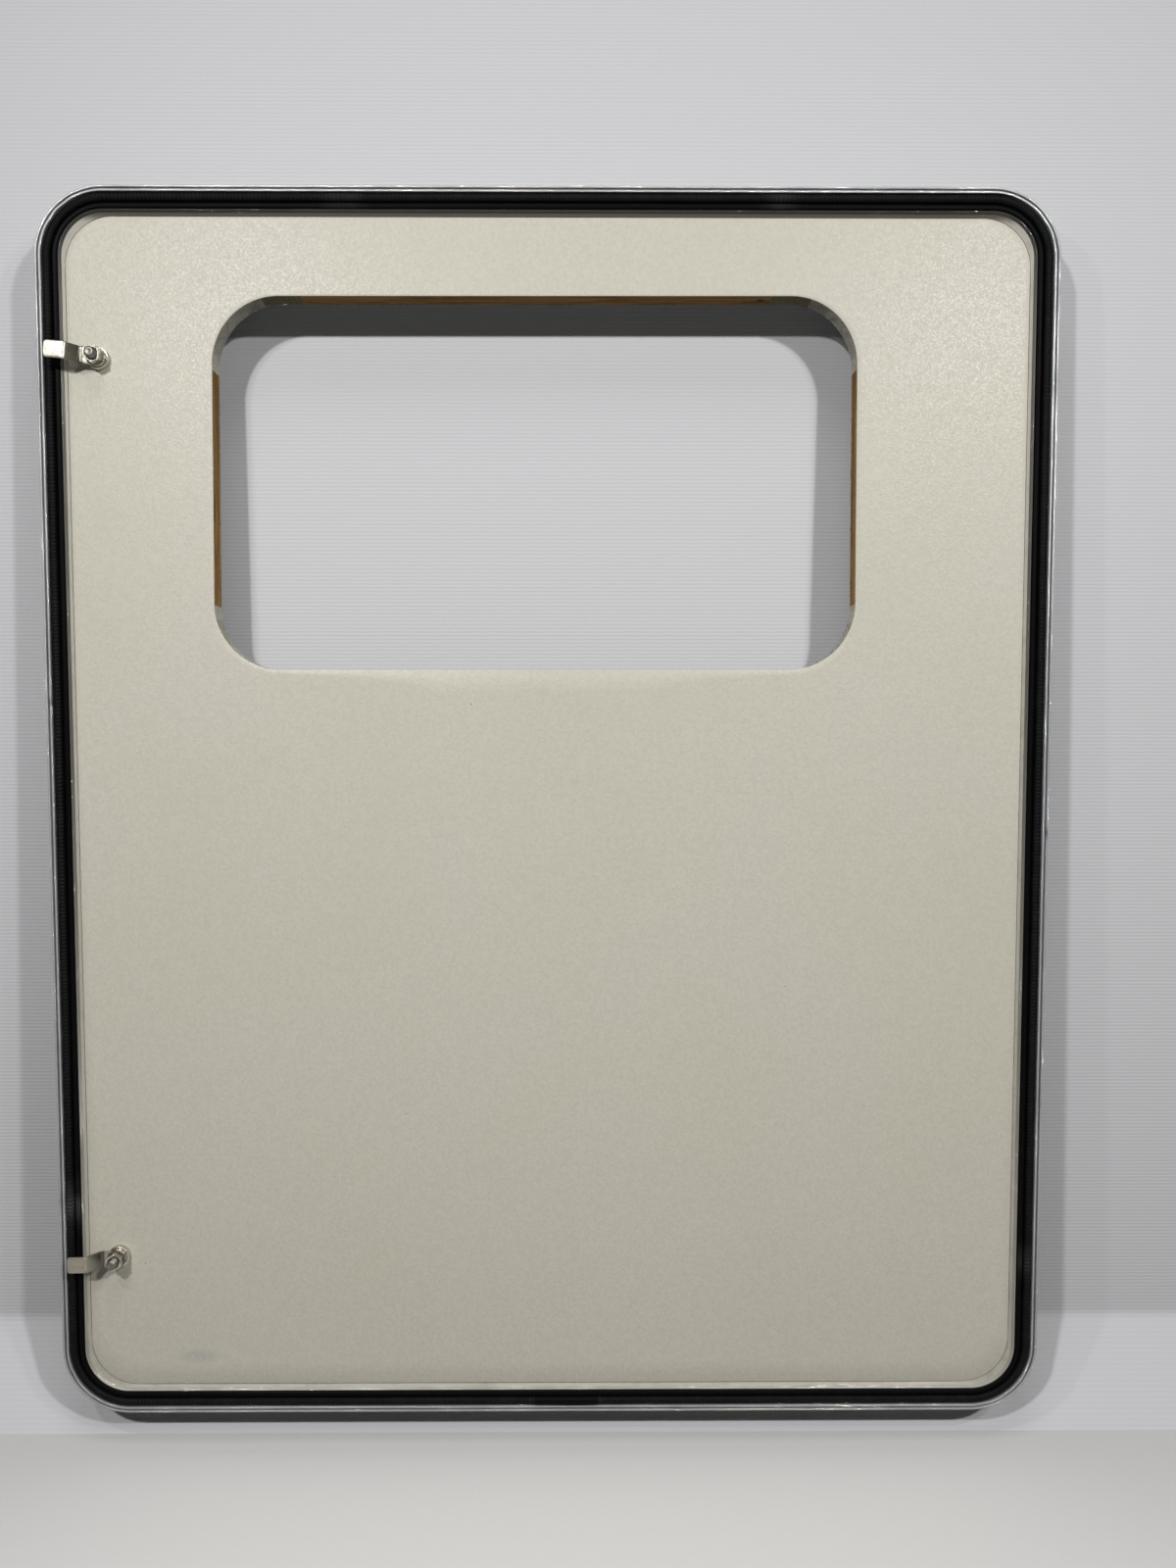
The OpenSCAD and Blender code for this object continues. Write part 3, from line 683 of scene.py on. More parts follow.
def wood_finish(colours, name, upright, knot=None):
    """Softwood: long rings of dark grain along the batten, pores, saw marks and a knot."""
    f = Finish(name, Specular_IOR_Level=0.25)
    turn = 1 if upright else -1
    grain = f.noise(1.0, 4.0, 0.62, f.scaled(*(160.0, 120.0, 6.4)[::turn]), 1.4)
    pores = f.noise(1.0, 3.0, 0.6, f.scaled(*(900.0, 500.0, 14.0)[::turn]))
    saw = f.noise(1.0, 2.0, 0.5, f.scaled(210.0, 60.0, 210.0))
    tone = f.blend(f.spread(grain, 0.3, 0.68), colours.wood_dark[:], colours.wood[:])
    tone = f.blend(f.spread(pores, 0.44, 0.7), tone, f.tinted(tone, (0.6, 0.5, 0.4)))
    if knot:
        tone = f.blend(f.spot(knot, 2.4 * MM, 4 * MM), tone, (0.045, 0.022, 0.01))
    height = f.maths("ADD", f.maths("MULTIPLY", pores, 0.7), f.maths("MULTIPLY", saw, 0.6))
    return f.set(Base_Color=tone, Roughness=0.72, Normal=f.bump(height, 0.0005, 0.8))


def packing_finish(colours):
    """Dark olive fibre packing with pale fluffed fibres."""
    f = Finish("packing_fibre", Specular_IOR_Level=0.2, Roughness=0.85)
    fibre = f.noise(1.0, 4.0, 0.65, f.scaled(260.0, 900.0, 260.0), 0.8)
    pale = f.spread(f.noise(190.0, 4.0, 0.7), 0.55, 0.72)
    base = colours.packing[:]
    tone = f.blend(f.spread(fibre, 0.32, 0.68), darker(base, 0.6), darker(base, 1.15))
    tone = f.blend(pale, tone, darker(base, 1.7))
    return f.set(Base_Color=tone, Normal=f.bump(fibre, 0.0008, 0.9))


def foam_finish(colours):
    """Sawn rigid foam: open cells under a millimetre, crushed specks and a few glints."""
    f = Finish("core_foam", Specular_IOR_Level=0.3, Roughness=0.78)
    cells = f.cells(1150.0)
    patch = f.spread(f.noise(120.0, 4.0, 0.66), 0.36, 0.7)
    base = colours.foam[:]
    tone = f.blend(f.spread(cells, 0.1, 0.75), darker(base, 1.18), darker(base, 0.55))
    tone = f.blend(patch, tone, f.tinted(tone, (0.72, 0.7, 0.64)))
    walls = f.maths("MULTIPLY", f.cells(700.0, "DISTANCE_TO_EDGE"), 1.4)
    return f.set(Base_Color=tone, Normal=f.bump(f.maths("SUBTRACT", walls, cells), 0.0006, 0.9))


def glue_finish(colours):
    """Foamed glue: pale, blistered and slightly shiny."""
    f = Finish("foamed_glue", Specular_IOR_Level=0.45)
    blisters = f.cells(420.0, "SMOOTH_F1")
    stain = f.spread(f.noise(140.0, 3.0, 0.6), 0.5, 0.74)
    base = colours.glue[:]
    return f.set(Base_Color=f.blend(stain, base, f.tinted(base, (0.84, 0.72, 0.5))),
                 Roughness=f.spread(blisters, 0.1, 0.6, 0.4, 0.62),
                 Normal=f.bump(blisters, 0.0009, 0.9))


def plated_finish(name, base, rough, grime, tint=(0.8, 0.72, 0.55), slope=None):
    """Plated steel: cloudy plating, fine handling marks and brownish grime in patches.

    Between the two Object X of slope it is painted a dark olive that grows darker towards the nut:
    painted shade on the cam's sloping part.
    """
    f = Finish(name, Metallic=1.0)
    marks = f.noise(900.0, 3.0, 0.6, f.scaled(1.0, 1.0, 0.25))
    dirt = f.maths("MULTIPLY", f.spread(f.noise(240.0, 4.0, 0.66), 0.5, 0.72), grime)
    cloud = f.spread(f.noise(150.0, 4.0, 0.6), 0.35, 0.65)
    tone = f.blend(cloud, darker(base, 0.9), base)
    tone = f.blend(dirt, tone, f.tinted(tone, tint))
    if slope:
        # Painted shade on the slope between the flat tongue and the nut.
        across = f.axis("X")
        dull = f.band(across, slope[0], slope[0] + 0.6 * MM, slope[1], slope[1] + 2 * MM)
        painted_slope_shade = f.blend(f.spread(across, *slope), (0.3, 0.29, 0.23), (0.12, 0.11, 0.085))
        tone = f.blend(dull, tone, painted_slope_shade)
    return f.set(Base_Color=tone, Roughness=f.spread(marks, 0.3, 0.7, rough - 0.06, rough + 0.1),
                 Normal=f.bump(marks, 0.00005, 0.2))


def refinish(node, material):
    """Gives a solid that is shown as it is another finish."""
    held = frame["nodes"][node].data.materials
    held.clear()
    held.append(material)


# Sheets

EDGE_ROUND = 0.35 * MM
# Shifts of the hand-cut opening's corners
ASKEW_LOW = np.array([[-1.8, -0.5], [0.0, -0.3]]) * MM
ASKEW_TOP = np.array([[1.6, 0.0], [-1.8, 1.3]]) * MM


def cut_middle():
    """Middle of the cut-out, from the leaf's middle."""
    leaf, cut = bpy.context.scene.hatch_leaf, bpy.context.scene.hatch_cutout
    return np.array([cut.from_left + cut.width / 2 - leaf.width / 2,
                     leaf.height / 2 - cut.from_top - cut.height / 2])


def cut_shift(points):
    """The hand-cut opening is slightly askew: four corner shifts, blended in x and in y."""
    cut = bpy.context.scene.hatch_cutout
    middle = cut_middle()
    a = np.clip((points[..., 0] - middle[0]) / cut.width + 0.5, 0, 1)[..., None]
    b = np.clip((points[..., 1] - middle[1]) / cut.height + 0.5, 0, 1)[..., None]
    low = (1 - a) * ASKEW_LOW[0] + a * ASKEW_LOW[1]
    return points + ((1 - b) * low + b * ((1 - a) * ASKEW_TOP[0] + a * ASKEW_TOP[1]))


def sheet_piece(name, inset, corner, face, back, material, node, bow_seed, set_back=0.0):
    """A sheet with the cut-out through it, as rings between the two edges.

    Rays from the middle of the cut-out meet its edge at a and the sheet's edge at b; a ring
    is a + t (b - a), and the rows run over the face, round the outer edge, back, and round
    the inner edge. The face bows by a small sum of sines of x and y.
    """
    leaf, cut = bpy.context.scene.hatch_leaf, outline_of(bpy.context.scene.hatch_cutout)
    middle = cut_middle()
    sheet = (leaf.width - 2 * inset, leaf.height - 2 * inset, corner)
    on_cut = along_outline(outline_steps(cut, 0.012, 26), cut)[0]
    on_out = along_outline(outline_steps(sheet, 0.02, 26), sheet)[0] - middle
    angle = np.unique(np.round(np.concatenate(
        [np.arctan2(on_cut[:, 1], on_cut[:, 0]), np.arctan2(on_out[:, 1], on_out[:, 0])]), 6))
    rays = np.stack([np.cos(angle), np.sin(angle)], axis=-1)
    a = cut_shift(meet_outline(middle, rays, cut, middle))
    a = a + set_back * (a - middle) / np.linalg.norm(a - middle, axis=1)[:, None]
    b = meet_outline(middle, rays, sheet)
    way = (b - a) / np.linalg.norm(b - a, axis=1)[:, None]
    # Two rows round each edge of the face, 34 rings on it, and two rows on the back
    rings, edge = 34, math.copysign(EDGE_ROUND, face - back)
    shares = np.concatenate(([0, 0], np.linspace(0, 1, rings), [1, 1, 1, 0]))
    offsets = EDGE_ROUND * np.concatenate(([0, 0.3, 1], np.zeros(rings - 2), [-1, -0.3, 0, 0, 0]))
    low_rows = face - edge * np.array([1, 0.3])
    heights = np.concatenate((low_rows, np.full(rings, face), low_rows[::-1], [back, back]))
    flat = (a[:, None] + (b - a)[:, None] * shares[None, :, None]
            + way[:, None] * offsets[None, :, None])
    bow = (wobble(flat[..., 0], bow_seed, 0.1 * MM, 0.18, 0.7)
           * wobble(flat[..., 1], bow_seed + 1, 1.0, 0.2, 0.8))
    on_face = np.zeros(len(shares))
    on_face[4:rings] = 1.0
    points = placed(flat[..., 0], flat[..., 1], heights[None] + bow * on_face[None])
    piece = surface(name, points, material, "leaf", loop_u=True, flat_over=50)
    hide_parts(node)


class HATCH_OT_sheets(bpy.types.Operator):
    """Make the cream inner sheet and the smooth outer sheet"""

    bl_idname = "hatch.make_sheets"
    bl_label = "Sheets"

    def execute(self, context):
        leaf, colours = context.scene.hatch_leaf, context.scene.hatch_finishes
        base = -2 * leaf.sheet - leaf.core
        sheet_piece("inner_sheet_panel", leaf.sheet_inset, leaf.sheet_corner, 0.0, -leaf.sheet,
                    sheet_finish(colours), "inner_sheet", 11)
        # Its edge lies a little behind the blocks, so that the lit edge isn't seen from inside
        inset, set_back = 2.5 * MM, 0.8 * MM
        sheet_piece("outer_sheet_panel", inset, leaf.corner - inset, base, base + leaf.sheet,
                    outer_finish(colours), "outer_sheet", 23, set_back)
        return {"FINISHED"}


# Edge frame, sealant and seal. Marks: from left and top, half the length in mm, depth.

RAIL_NICKS = ((0, 549, "inner", 5, 0.8), (1100, 430, "inner", 4, 0.9),
              (0, 1108, "both", 16, 0.35), (1100, 695, "outer", 5, 0.9))
SEAL_SCUFFS = ((0, 1110, 30, 0.8), (1100, 1180, 26, 0.35), (330, 0, 30, 0.3), (800, 0, 26, 0.3))


def mark(s, from_left, from_top, half):
    """A bump along the leaf's outline, at its point nearest to a spot."""
    outline = outline_of(bpy.context.scene.hatch_leaf)
    at = nearest_on(outline, from_left, from_top)
    return hump(s, at, half * MM, outline_length(outline))


class HATCH_OT_edge_frame(bpy.types.Operator):
    """Make the aluminium edge frame, bent round the leaf"""

    bl_idname = "hatch.make_edge_frame"
    bl_label = "Edge Frame"

    def execute(self, context):
        leaf = context.scene.hatch_leaf
        back = -2 * leaf.sheet - leaf.core
        base, core_base = (back - leaf.flange_thick) / MM, (back + leaf.sheet) / MM
        back, top, floor = back / MM, leaf.rim / MM, (leaf.rim - 9 * MM) / MM
        channel, lip, flange = (
            round(v / MM, 4) for v in (leaf.channel_from, leaf.channel_to, leaf.flange)
        )
        corners = (
            (0, base), (0, top), (2, top), (2, 0), (4, 0), (4, top), (channel, top),
            (channel, floor), (lip, floor), (lip, 4.0), (25.4, 4.05),
            (leaf.lip_to / MM, leaf.lip_low / MM), (29.8, core_base), (2, core_base), (2, back),
            (flange, back), (flange, base),
        )
        radii = (1.0, 0.45, 0.45, 0.15, 0.15, 0.45, 0.45, 0.2, 0.2, 0.25, 0.25, 0.2, 0.2, 0.1,
                 0.1, 0.9, 0.9)
        steps, lip_first, lip_last = 4, 9, 11
        section = rounded_section(corners, radii, steps)
        s = outline_steps(outline_of(leaf), 0.009, 40)
        shift, wear = self.handled(leaf, section, s)
        girth = chain_lengths(section)
        metal = aluminium_finish(context.scene.hatch_finishes, float(girth[lip_first * steps]),
                                 float(girth[lip_last * steps + steps - 1]))
        piece = swept("edge_frame_profile", section, s, metal, shift=shift,
                      values=wear, flat_over=28)
        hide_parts("edge_frame")
        return {"FINISHED"}

    def handled(self, leaf, section, s):
        """Ripple of the rim's walls, stronger in the bends, and its nicks, as shift and wear.

        The outer face only moves inward; a nick is a bump in wear where it lies on the rim.
        """
        outward = along_outline(s, outline_of(leaf))[1]
        bend = 4 * (outward[:, 0] * outward[:, 1]) ** 2
        high = np.clip((section[:, 1] + 1 * MM) / (3 * MM), 0, 1)
        outer = (section[:, 0] < 2.2 * MM) * high
        inner = ((section[:, 0] > 3.8 * MM) & (section[:, 0] < 6.5 * MM)) * high
        reach = leaf.ripple * (0.35 + 1.5 * bend)
        wave_out = np.abs(wobble(s, 5, 1.0, 0.02, 0.12)) * reach
        wave_in = wobble(s, 6, 1.0, 0.012, 0.09) * reach
        shift = wave_out[:, None] * outer[None] + wave_in[:, None] * inner[None]
        rails = {"outer": outer, "inner": inner, "both": outer + inner}
        wear = sum(depth * mark(s, x, y, half)[:, None] * rails[rail][None]
                   for x, y, rail, half, depth in RAIL_NICKS)
        return shift, np.clip(wear, 0, 1)


class HATCH_OT_sealant(bpy.types.Operator):
    """Make the sealant that fills the gap between lip and inner sheet"""

    bl_idname = "hatch.make_sealant"
    bl_label = "Sealant"

    def execute(self, context):
        leaf = context.scene.hatch_leaf
        s = outline_steps(outline_of(leaf), 0.02, 44)
        place, outward = along_outline(s, outline_of(leaf))
        a = place - outward * leaf.lip_to
        inset = leaf.sheet_inset - leaf.joint
        joint = (leaf.width - 2 * inset, leaf.height - 2 * inset, leaf.sheet_corner + leaf.joint)
        b = meet_outline(a, -outward, joint, reach=0.03, steps=40, inside=False)
        across = 9
        t = np.concatenate((np.linspace(0, 1, across), [1, 0]))
        on_top = np.arange(len(t)) < across
        heights = leaf.lip_low * (1 - t) ** 1.25 - 0.15 * MM * t
        heights[across:] = -leaf.sheet
        wave = wobble(s, 31, 0.12 * MM, 0.03, 0.3)
        flat = a[:, None] + (b - a)[:, None] * t[None, :, None]
        rise = heights[None] + wave[:, None] * (np.sin(math.pi * t) * on_top)[None]
        points = placed(flat[..., 0], flat[..., 1], rise)
        piece = surface("sealant_bead", points, sealant_finish(context.scene.hatch_finishes),
                        "leaf", u=s, v=t * 4 * MM, loop_u=True, flat_over=40)
        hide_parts("edge_sealant")
        return {"FINISHED"}


class HATCH_OT_seal(bpy.types.Operator):
    """Make the rubber seal: its body, its ribbed crown and its joint piece"""

    bl_idname = "hatch.make_seal"
    bl_label = "Seal"

    def execute(self, context):
        leaf, seal = context.scene.hatch_leaf, context.scene.hatch_seal
        colours = context.scene.hatch_finishes
        smooth = rubber_finish(colours, "seal_rubber_smooth", 0.1)
        joint_at, half = seal.joint_from_left - leaf.width / 2, seal.joint_length / 2
        self.body(leaf, seal, smooth, rubber_finish(colours, "seal_rubber_ribbed", 0.8),
                  joint_at, half)
        self.sleeve(seal, smooth, joint_at, half)
        return {"FINISHED"}

    def body(self, leaf, seal, smooth, ribbed, joint_at, half):
        """Foot, lobe and the bulb below its ribs, open where the joint piece sits."""
        whole = outline_length(outline_of(leaf))
        begin, end = joint_at + half - 1 * MM, whole + joint_at - half + 1 * MM
        s = outline_steps(outline_of(leaf), 0.012, 36)
        s = np.where(s < begin, s + whole, s)
        s = np.sort(s[(s > begin + MM) & (s < end - MM)])
        s = np.concatenate(([begin], s, [end]))
        section = self.section(seal, seal.rib_depth * 0.9)
        lean = self.lean(s)[:, None] * np.clip(section[None, :, 1] / (4 * MM) + 0.6, 0, 1)
        wear = self.scuffs(s)[:, None] * (section[None, :, 1] > 3 * MM)
        piece = swept("seal_body", section, s, smooth, shift=lean, loop=False,
                      values=wear, flat_over=45)
        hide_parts("seal")
        self.ribs(leaf, seal, ribbed, begin, end)

    def sleeve(self, seal, material, joint_at, half):
        """The joint piece: the seal's section, grown by a swell that tapers to both ends."""
        s = np.linspace(joint_at - half, joint_at + half, 61)
        section = self.section(seal, 0.0)
        across = section - np.array([15.0 * MM, 0])
        swell = 0.35 * MM + 0.5 * MM * hump(s, joint_at + 8 * MM, half)
        taper = np.clip((half - np.abs(s - joint_at)) / (5 * MM), 0.0, 1.0) ** 0.5
        grow = (swell * taper)[:, None]
        up = np.clip((section[:, 1] + 2 * MM) / (5 * MM), 0, 1)[None]
        out = np.sign(across[:, 0])[None] * np.clip(np.abs(across[:, 0]) / (8 * MM), 0, 1)[None]
        piece = swept("seal_joint_sleeve", section, s, material,
                      shift=grow * out * up, raise_by=grow * up, loop=False,
                      values=np.zeros((len(s), len(section))), flat_over=45)
        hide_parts("seal_joint")

    def section(self, seal, low_crown):
        """Foot, bulb and lobe as one outline: two arcs (axis + r (cos a, sin a)) over a flat foot.

        Small steps in the lobe's radius make the lines that run along it.
        """
        foot, valley = -4 * MM, -1.4 * MM
        a = np.linspace(0, math.pi, 19)
        r = seal.lobe - 0.14 * MM * (np.cos(a * 9) > 0.55)
        lobe = np.stack([seal.lobe_from + r * np.cos(a), seal.lobe_height + r * np.sin(a)], -1)
        a = np.linspace(0, math.pi, 17)
        r = seal.bulb - low_crown
        bulb = np.stack([seal.bulb_from + r * np.cos(a), seal.bulb_height + r * np.sin(a)], -1)
        right, left = seal.lobe_from + seal.lobe, seal.bulb_from - seal.bulb
        between = (seal.lobe_from - seal.lobe + seal.bulb_from + seal.bulb) / 2
        return np.concatenate([[[left, foot], [right, foot]], lobe, [[between, valley]], bulb])

    def lean(self, s):
        """How far the seal leans in or out along its way."""
        return wobble(s, 41, 0.12 * MM, 0.05, 0.5)

    def scuffs(self, s):
        """Grey rubbed stretches: one low on the latch side and a few short ones."""
        streaky = 0.5 + 0.5 * np.sin(s * 2300) * np.sin(s * 970)
        wear = sum(depth * mark(s, x, y, half) * streaky for x, y, half, depth in SEAL_SCUFFS)
        return np.clip(wear, 0, 1)

    def ribs(self, leaf, seal, material, begin, end):
        """The ribbed crown of the bulb, a thin curved strip.

        Its outer radius is the bulb's less rib depth times a ridge wave of s over the pitch;
        the wave's phase grows with the square of the way across, so that the ribs curve.
        """
        count = round((end - begin) / seal.rib_pitch)
        s = np.linspace(begin, end, count * 5 + 1)
        across = np.radians(np.linspace(8, 172, 11))
        off = (across - math.pi / 2) / (math.pi / 2)
        phase = 2 * math.pi * (s[:, None] / seal.rib_pitch + 0.55 * off[None] ** 2)
        ridge = 0.5 - 0.5 * np.cos(phase)
        flatten = np.clip((np.minimum(s - begin, end - s) / (8 * MM)), 0, 1)[:, None]
        fade = np.cos(off * math.pi / 2)[None] ** 0.5
        radius = seal.bulb - seal.rib_depth * (1 - (1 - ridge) ** 1.4 * fade) * flatten
        # Three points below close the strip
        back, inner = across[::-1][[0, 5, 10]], seal.bulb - 1.3 * MM
        angle = np.concatenate([across, back])
        radius = np.concatenate([radius, np.full((len(s), 3), inner)], 1)
        distance = seal.bulb_from + radius * np.cos(angle)
        height = seal.bulb_height + radius * np.sin(angle)
        edge, outward = along_outline(s, outline_of(leaf))
        distance = distance + self.lean(s)[:, None]
        flat = edge[:, None] - outward[:, None] * distance[..., None]
        # The rib crests are painted lighter through the wear values: a painted highlight on the
        # ribs, on top of the scuffs.
        crest_highlight = 0.15 * (1 - (1 - ridge) ** 2.2) * fade**2
        crest_highlight = np.concatenate([crest_highlight, np.zeros((len(s), 3))], 1)
        surface("seal_ribs", placed(flat[..., 0], flat[..., 1], height), material,
                "leaf", u=s, v=np.arange(14) * 1.2 * MM, shut_ends=True,
                values=np.clip(self.scuffs(s)[:, None] + crest_highlight, 0, 1), flat_over=60)


# Cut-out. Stretches run from one spot to another, in mm from the leaf's left and top edges.

BATTENS = (
    ("top", (792.5, 114), (280, 114), 3, 0.9),
    ("bottom", (288, 514), (787.5, 514), 4, 0.4),
    ("left", (185, 191.7), (185, 444), 5, 0.4),
    ("right", (885, 442.6), (885, 190.4), 6, 0.4),
)
CORNER_BLOCKS = (
    ("foam_right_low", (812.5, 514), (885, 463), 51, 0.2),
    ("packing_right_low", (787.5, 514), (812.5, 514), 52, 0.5),
    ("glue_right_low", (885, 463), (885, 442.6), 53, 0.6),
    ("glue_right_high", (885, 190.4), (885, 174.7), 54, 0.4),
    ("foam_right_high", (885, 174.7), (835.5, 115), 55, 0.3),
    ("packing_right_high", (835.5, 115), (792.5, 114), 56, 1.0),
    ("packing_left_high", (280, 114), (237, 114), 57, 1.0),
    ("foam_left_high", (237, 114), (185, 172.9), 58, 0.2),
    ("glue_left_high", (185, 172.9), (185, 191.7), 59, 0.4),
    ("glue_left_low", (185, 444), (185, 459), 60, 0.5),
    ("foam_left_low", (185, 459), (263, 514), 61, 0.2),
    ("packing_left_low", (263, 514), (288, 514), 62, 0.5),
)


def cut_block(name, begin, end, material, node, seed, ragged, step, rough):
    """A block that lines the cut-out from one spot to another.

    Place = cut edge + outward * depth. The cut face, at depth 0, is pushed in by a sum of
    sines of the way along and of the height, and ragged adds short seeded splinters at its
    far edge.
    """
    leaf, cut = bpy.context.scene.hatch_leaf, bpy.context.scene.hatch_cutout
    outline, middle = outline_of(cut), cut_middle()
    s_from, s_to = nearest_on(outline, *begin, middle), nearest_on(outline, *end, middle)
    if s_to < s_from:
        s_to += outline_length(outline)
    s = np.linspace(s_from, s_to, max(4, int((s_to - s_from) / (step * MM))))
    top, base = -leaf.sheet, -leaf.sheet - leaf.core
    face = np.linspace(0, 1, 13)
    behind = np.zeros(2)
    depth = np.concatenate([0 * face, behind + cut.depth])
    height = np.concatenate([top + (base - top) * face, [base, top]])
    edge, outward = along_outline(s, outline)
    draw = np.random.default_rng(seed)
    grain = wobble(s[:, None] + height[None] * 0.37, seed, 1.0, 0.004, 0.03)
    grain = grain + draw.normal(0, 0.35, (len(s), len(height)))
    push = np.clip(grain, -1.2, 2.0) * cut.roughness * rough * 0.5
    fuzz = np.clip(draw.normal(-0.9, 0.9, len(s)), 0, 2.5) * ragged * MM
    push = push - np.concatenate([face**6, behind])[None] * fuzz[:, None]
    spread = depth[None] + push * np.concatenate([np.ones(len(face)), behind])[None]
    flat = cut_shift(edge[:, None] + outward[:, None] * spread[..., None] + middle)
    points = placed(flat[..., 0], flat[..., 1], np.broadcast_to(height[None], spread.shape))
    v = np.concatenate([face * 24 * MM, [62 * MM, 86 * MM]])
    piece = surface(name, points, material, "leaf", u=s, v=v, shut_ends=True, flat_over=45)
    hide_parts(node)


class HATCH_OT_battens(bpy.types.Operator):
    """Make the four wood battens in the straight sides of the cut-out"""

    bl_idname = "hatch.make_battens"
    bl_label = "Battens"

    def execute(self, context):
        colours = context.scene.hatch_finishes
        level = wood_finish(colours, "batten_wood_flat", False, leaf_point(780, 114, -14 * MM))
        upright = wood_finish(colours, "batten_wood_upright", True)
        for side, begin, end, seed, ragged in BATTENS:
            wood = level if side in ("top", "bottom") else upright
            cut_block(f"batten_{side}_wood", begin, end, wood, "batten_" + side,
                      seed, ragged, step=2.0, rough=0.8)
        return {"FINISHED"}


class HATCH_OT_core(bpy.types.Operator):
    """Finish the foam core, and make the packing, glue and foam at the cut-out's corners"""

    bl_idname = "hatch.make_core"
    bl_label = "Core"

    def execute(self, context):
        colours = context.scene.hatch_finishes
        kinds = {
            "foam": (foam_finish(colours), "corner_foam"),
            "packing": (packing_finish(colours), "packing_pieces"),
            "glue": (glue_finish(colours), "glue_pads"),
        }
        for side in ("top", "bottom", "left", "right"):
            refinish("core_" + side, kinds["foam"][0])
        for name, begin, end, seed, ragged in CORNER_BLOCKS:
            slot = name.split("_")[0]
            material, node = kinds[slot]
            cut_block("cut_" + name, begin, end, material, node, seed, ragged,
                      step=1.5, rough=1.4)
        return {"FINISHED"}


# Latches


def latch_axis(side):
    """Flat place of the upper (1) or lower (-1) latch axis."""
    leaf, latch = bpy.context.scene.hatch_leaf, bpy.context.scene.hatch_latches
    return np.array([latch.from_left - leaf.width / 2, side * (leaf.height / 2 - latch.from_end)])


class HATCH_OT_locks(bpy.types.Operator):
    """Make the barrels, collars and outer plates of the two locks"""

    bl_idname = "hatch.make_locks"
    bl_label = "Locks"

    def execute(self, context):
        latch, leaf = context.scene.hatch_latches, context.scene.hatch_leaf
        nickel = context.scene.hatch_finishes.nickel[:]
        bright = plated_finish("lock_plating", nickel, 0.3, 0.3)
        satin = plated_finish("lock_plate_satin", darker(nickel, 0.92), 0.34, 0.15)
        back, r = (-2 * leaf.sheet - leaf.core) / MM, latch.collar / 2 / MM
        shapes = (
            ("collar_ring", "lock_collar", bright, "lock_metal", 96, 5,
             ((9.6, 0), (r, 0), (r, 6.5), (9.6, 6.5)), (0.1, 0.5, 1.1, 0.3)),
            ("barrel_body", "lock_barrel", bright, "lock_metal", 72, 5,
             ((7.1, back - 5.5), (14, back - 5.5), (14, back - 2.5), (9.5, back - 2.5),
              (9.5, 8), (5.6, 8), (5.6, 4), (7.1, 4)), (0.6, 1.1, 0.1, 0.1, 0.7, 0.3, 0.1, 0.1)),
            ("plate_disc", "lock_plate", satin, "lock_plate_metal", 96, 6,
             ((9.6, back), (9.6, back - 2.5), (21, back - 2.5), (21, back)), (0.1, 0.2, 1.6, 0.1)),
        )
        for word, side in (("upper", 1), ("lower", -1)):
            for name, node, metal, slot, around, steps, corners, radii in shapes:
                profile = rounded_section(corners, radii, steps)
                piece = turned(f"{word}_{name}", profile, latch_axis(side), metal, "leaf",
                               around)
                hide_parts(f"{word}_{node}")
            refinish(word + "_lock_plug", bright)
        return {"FINISHED"}


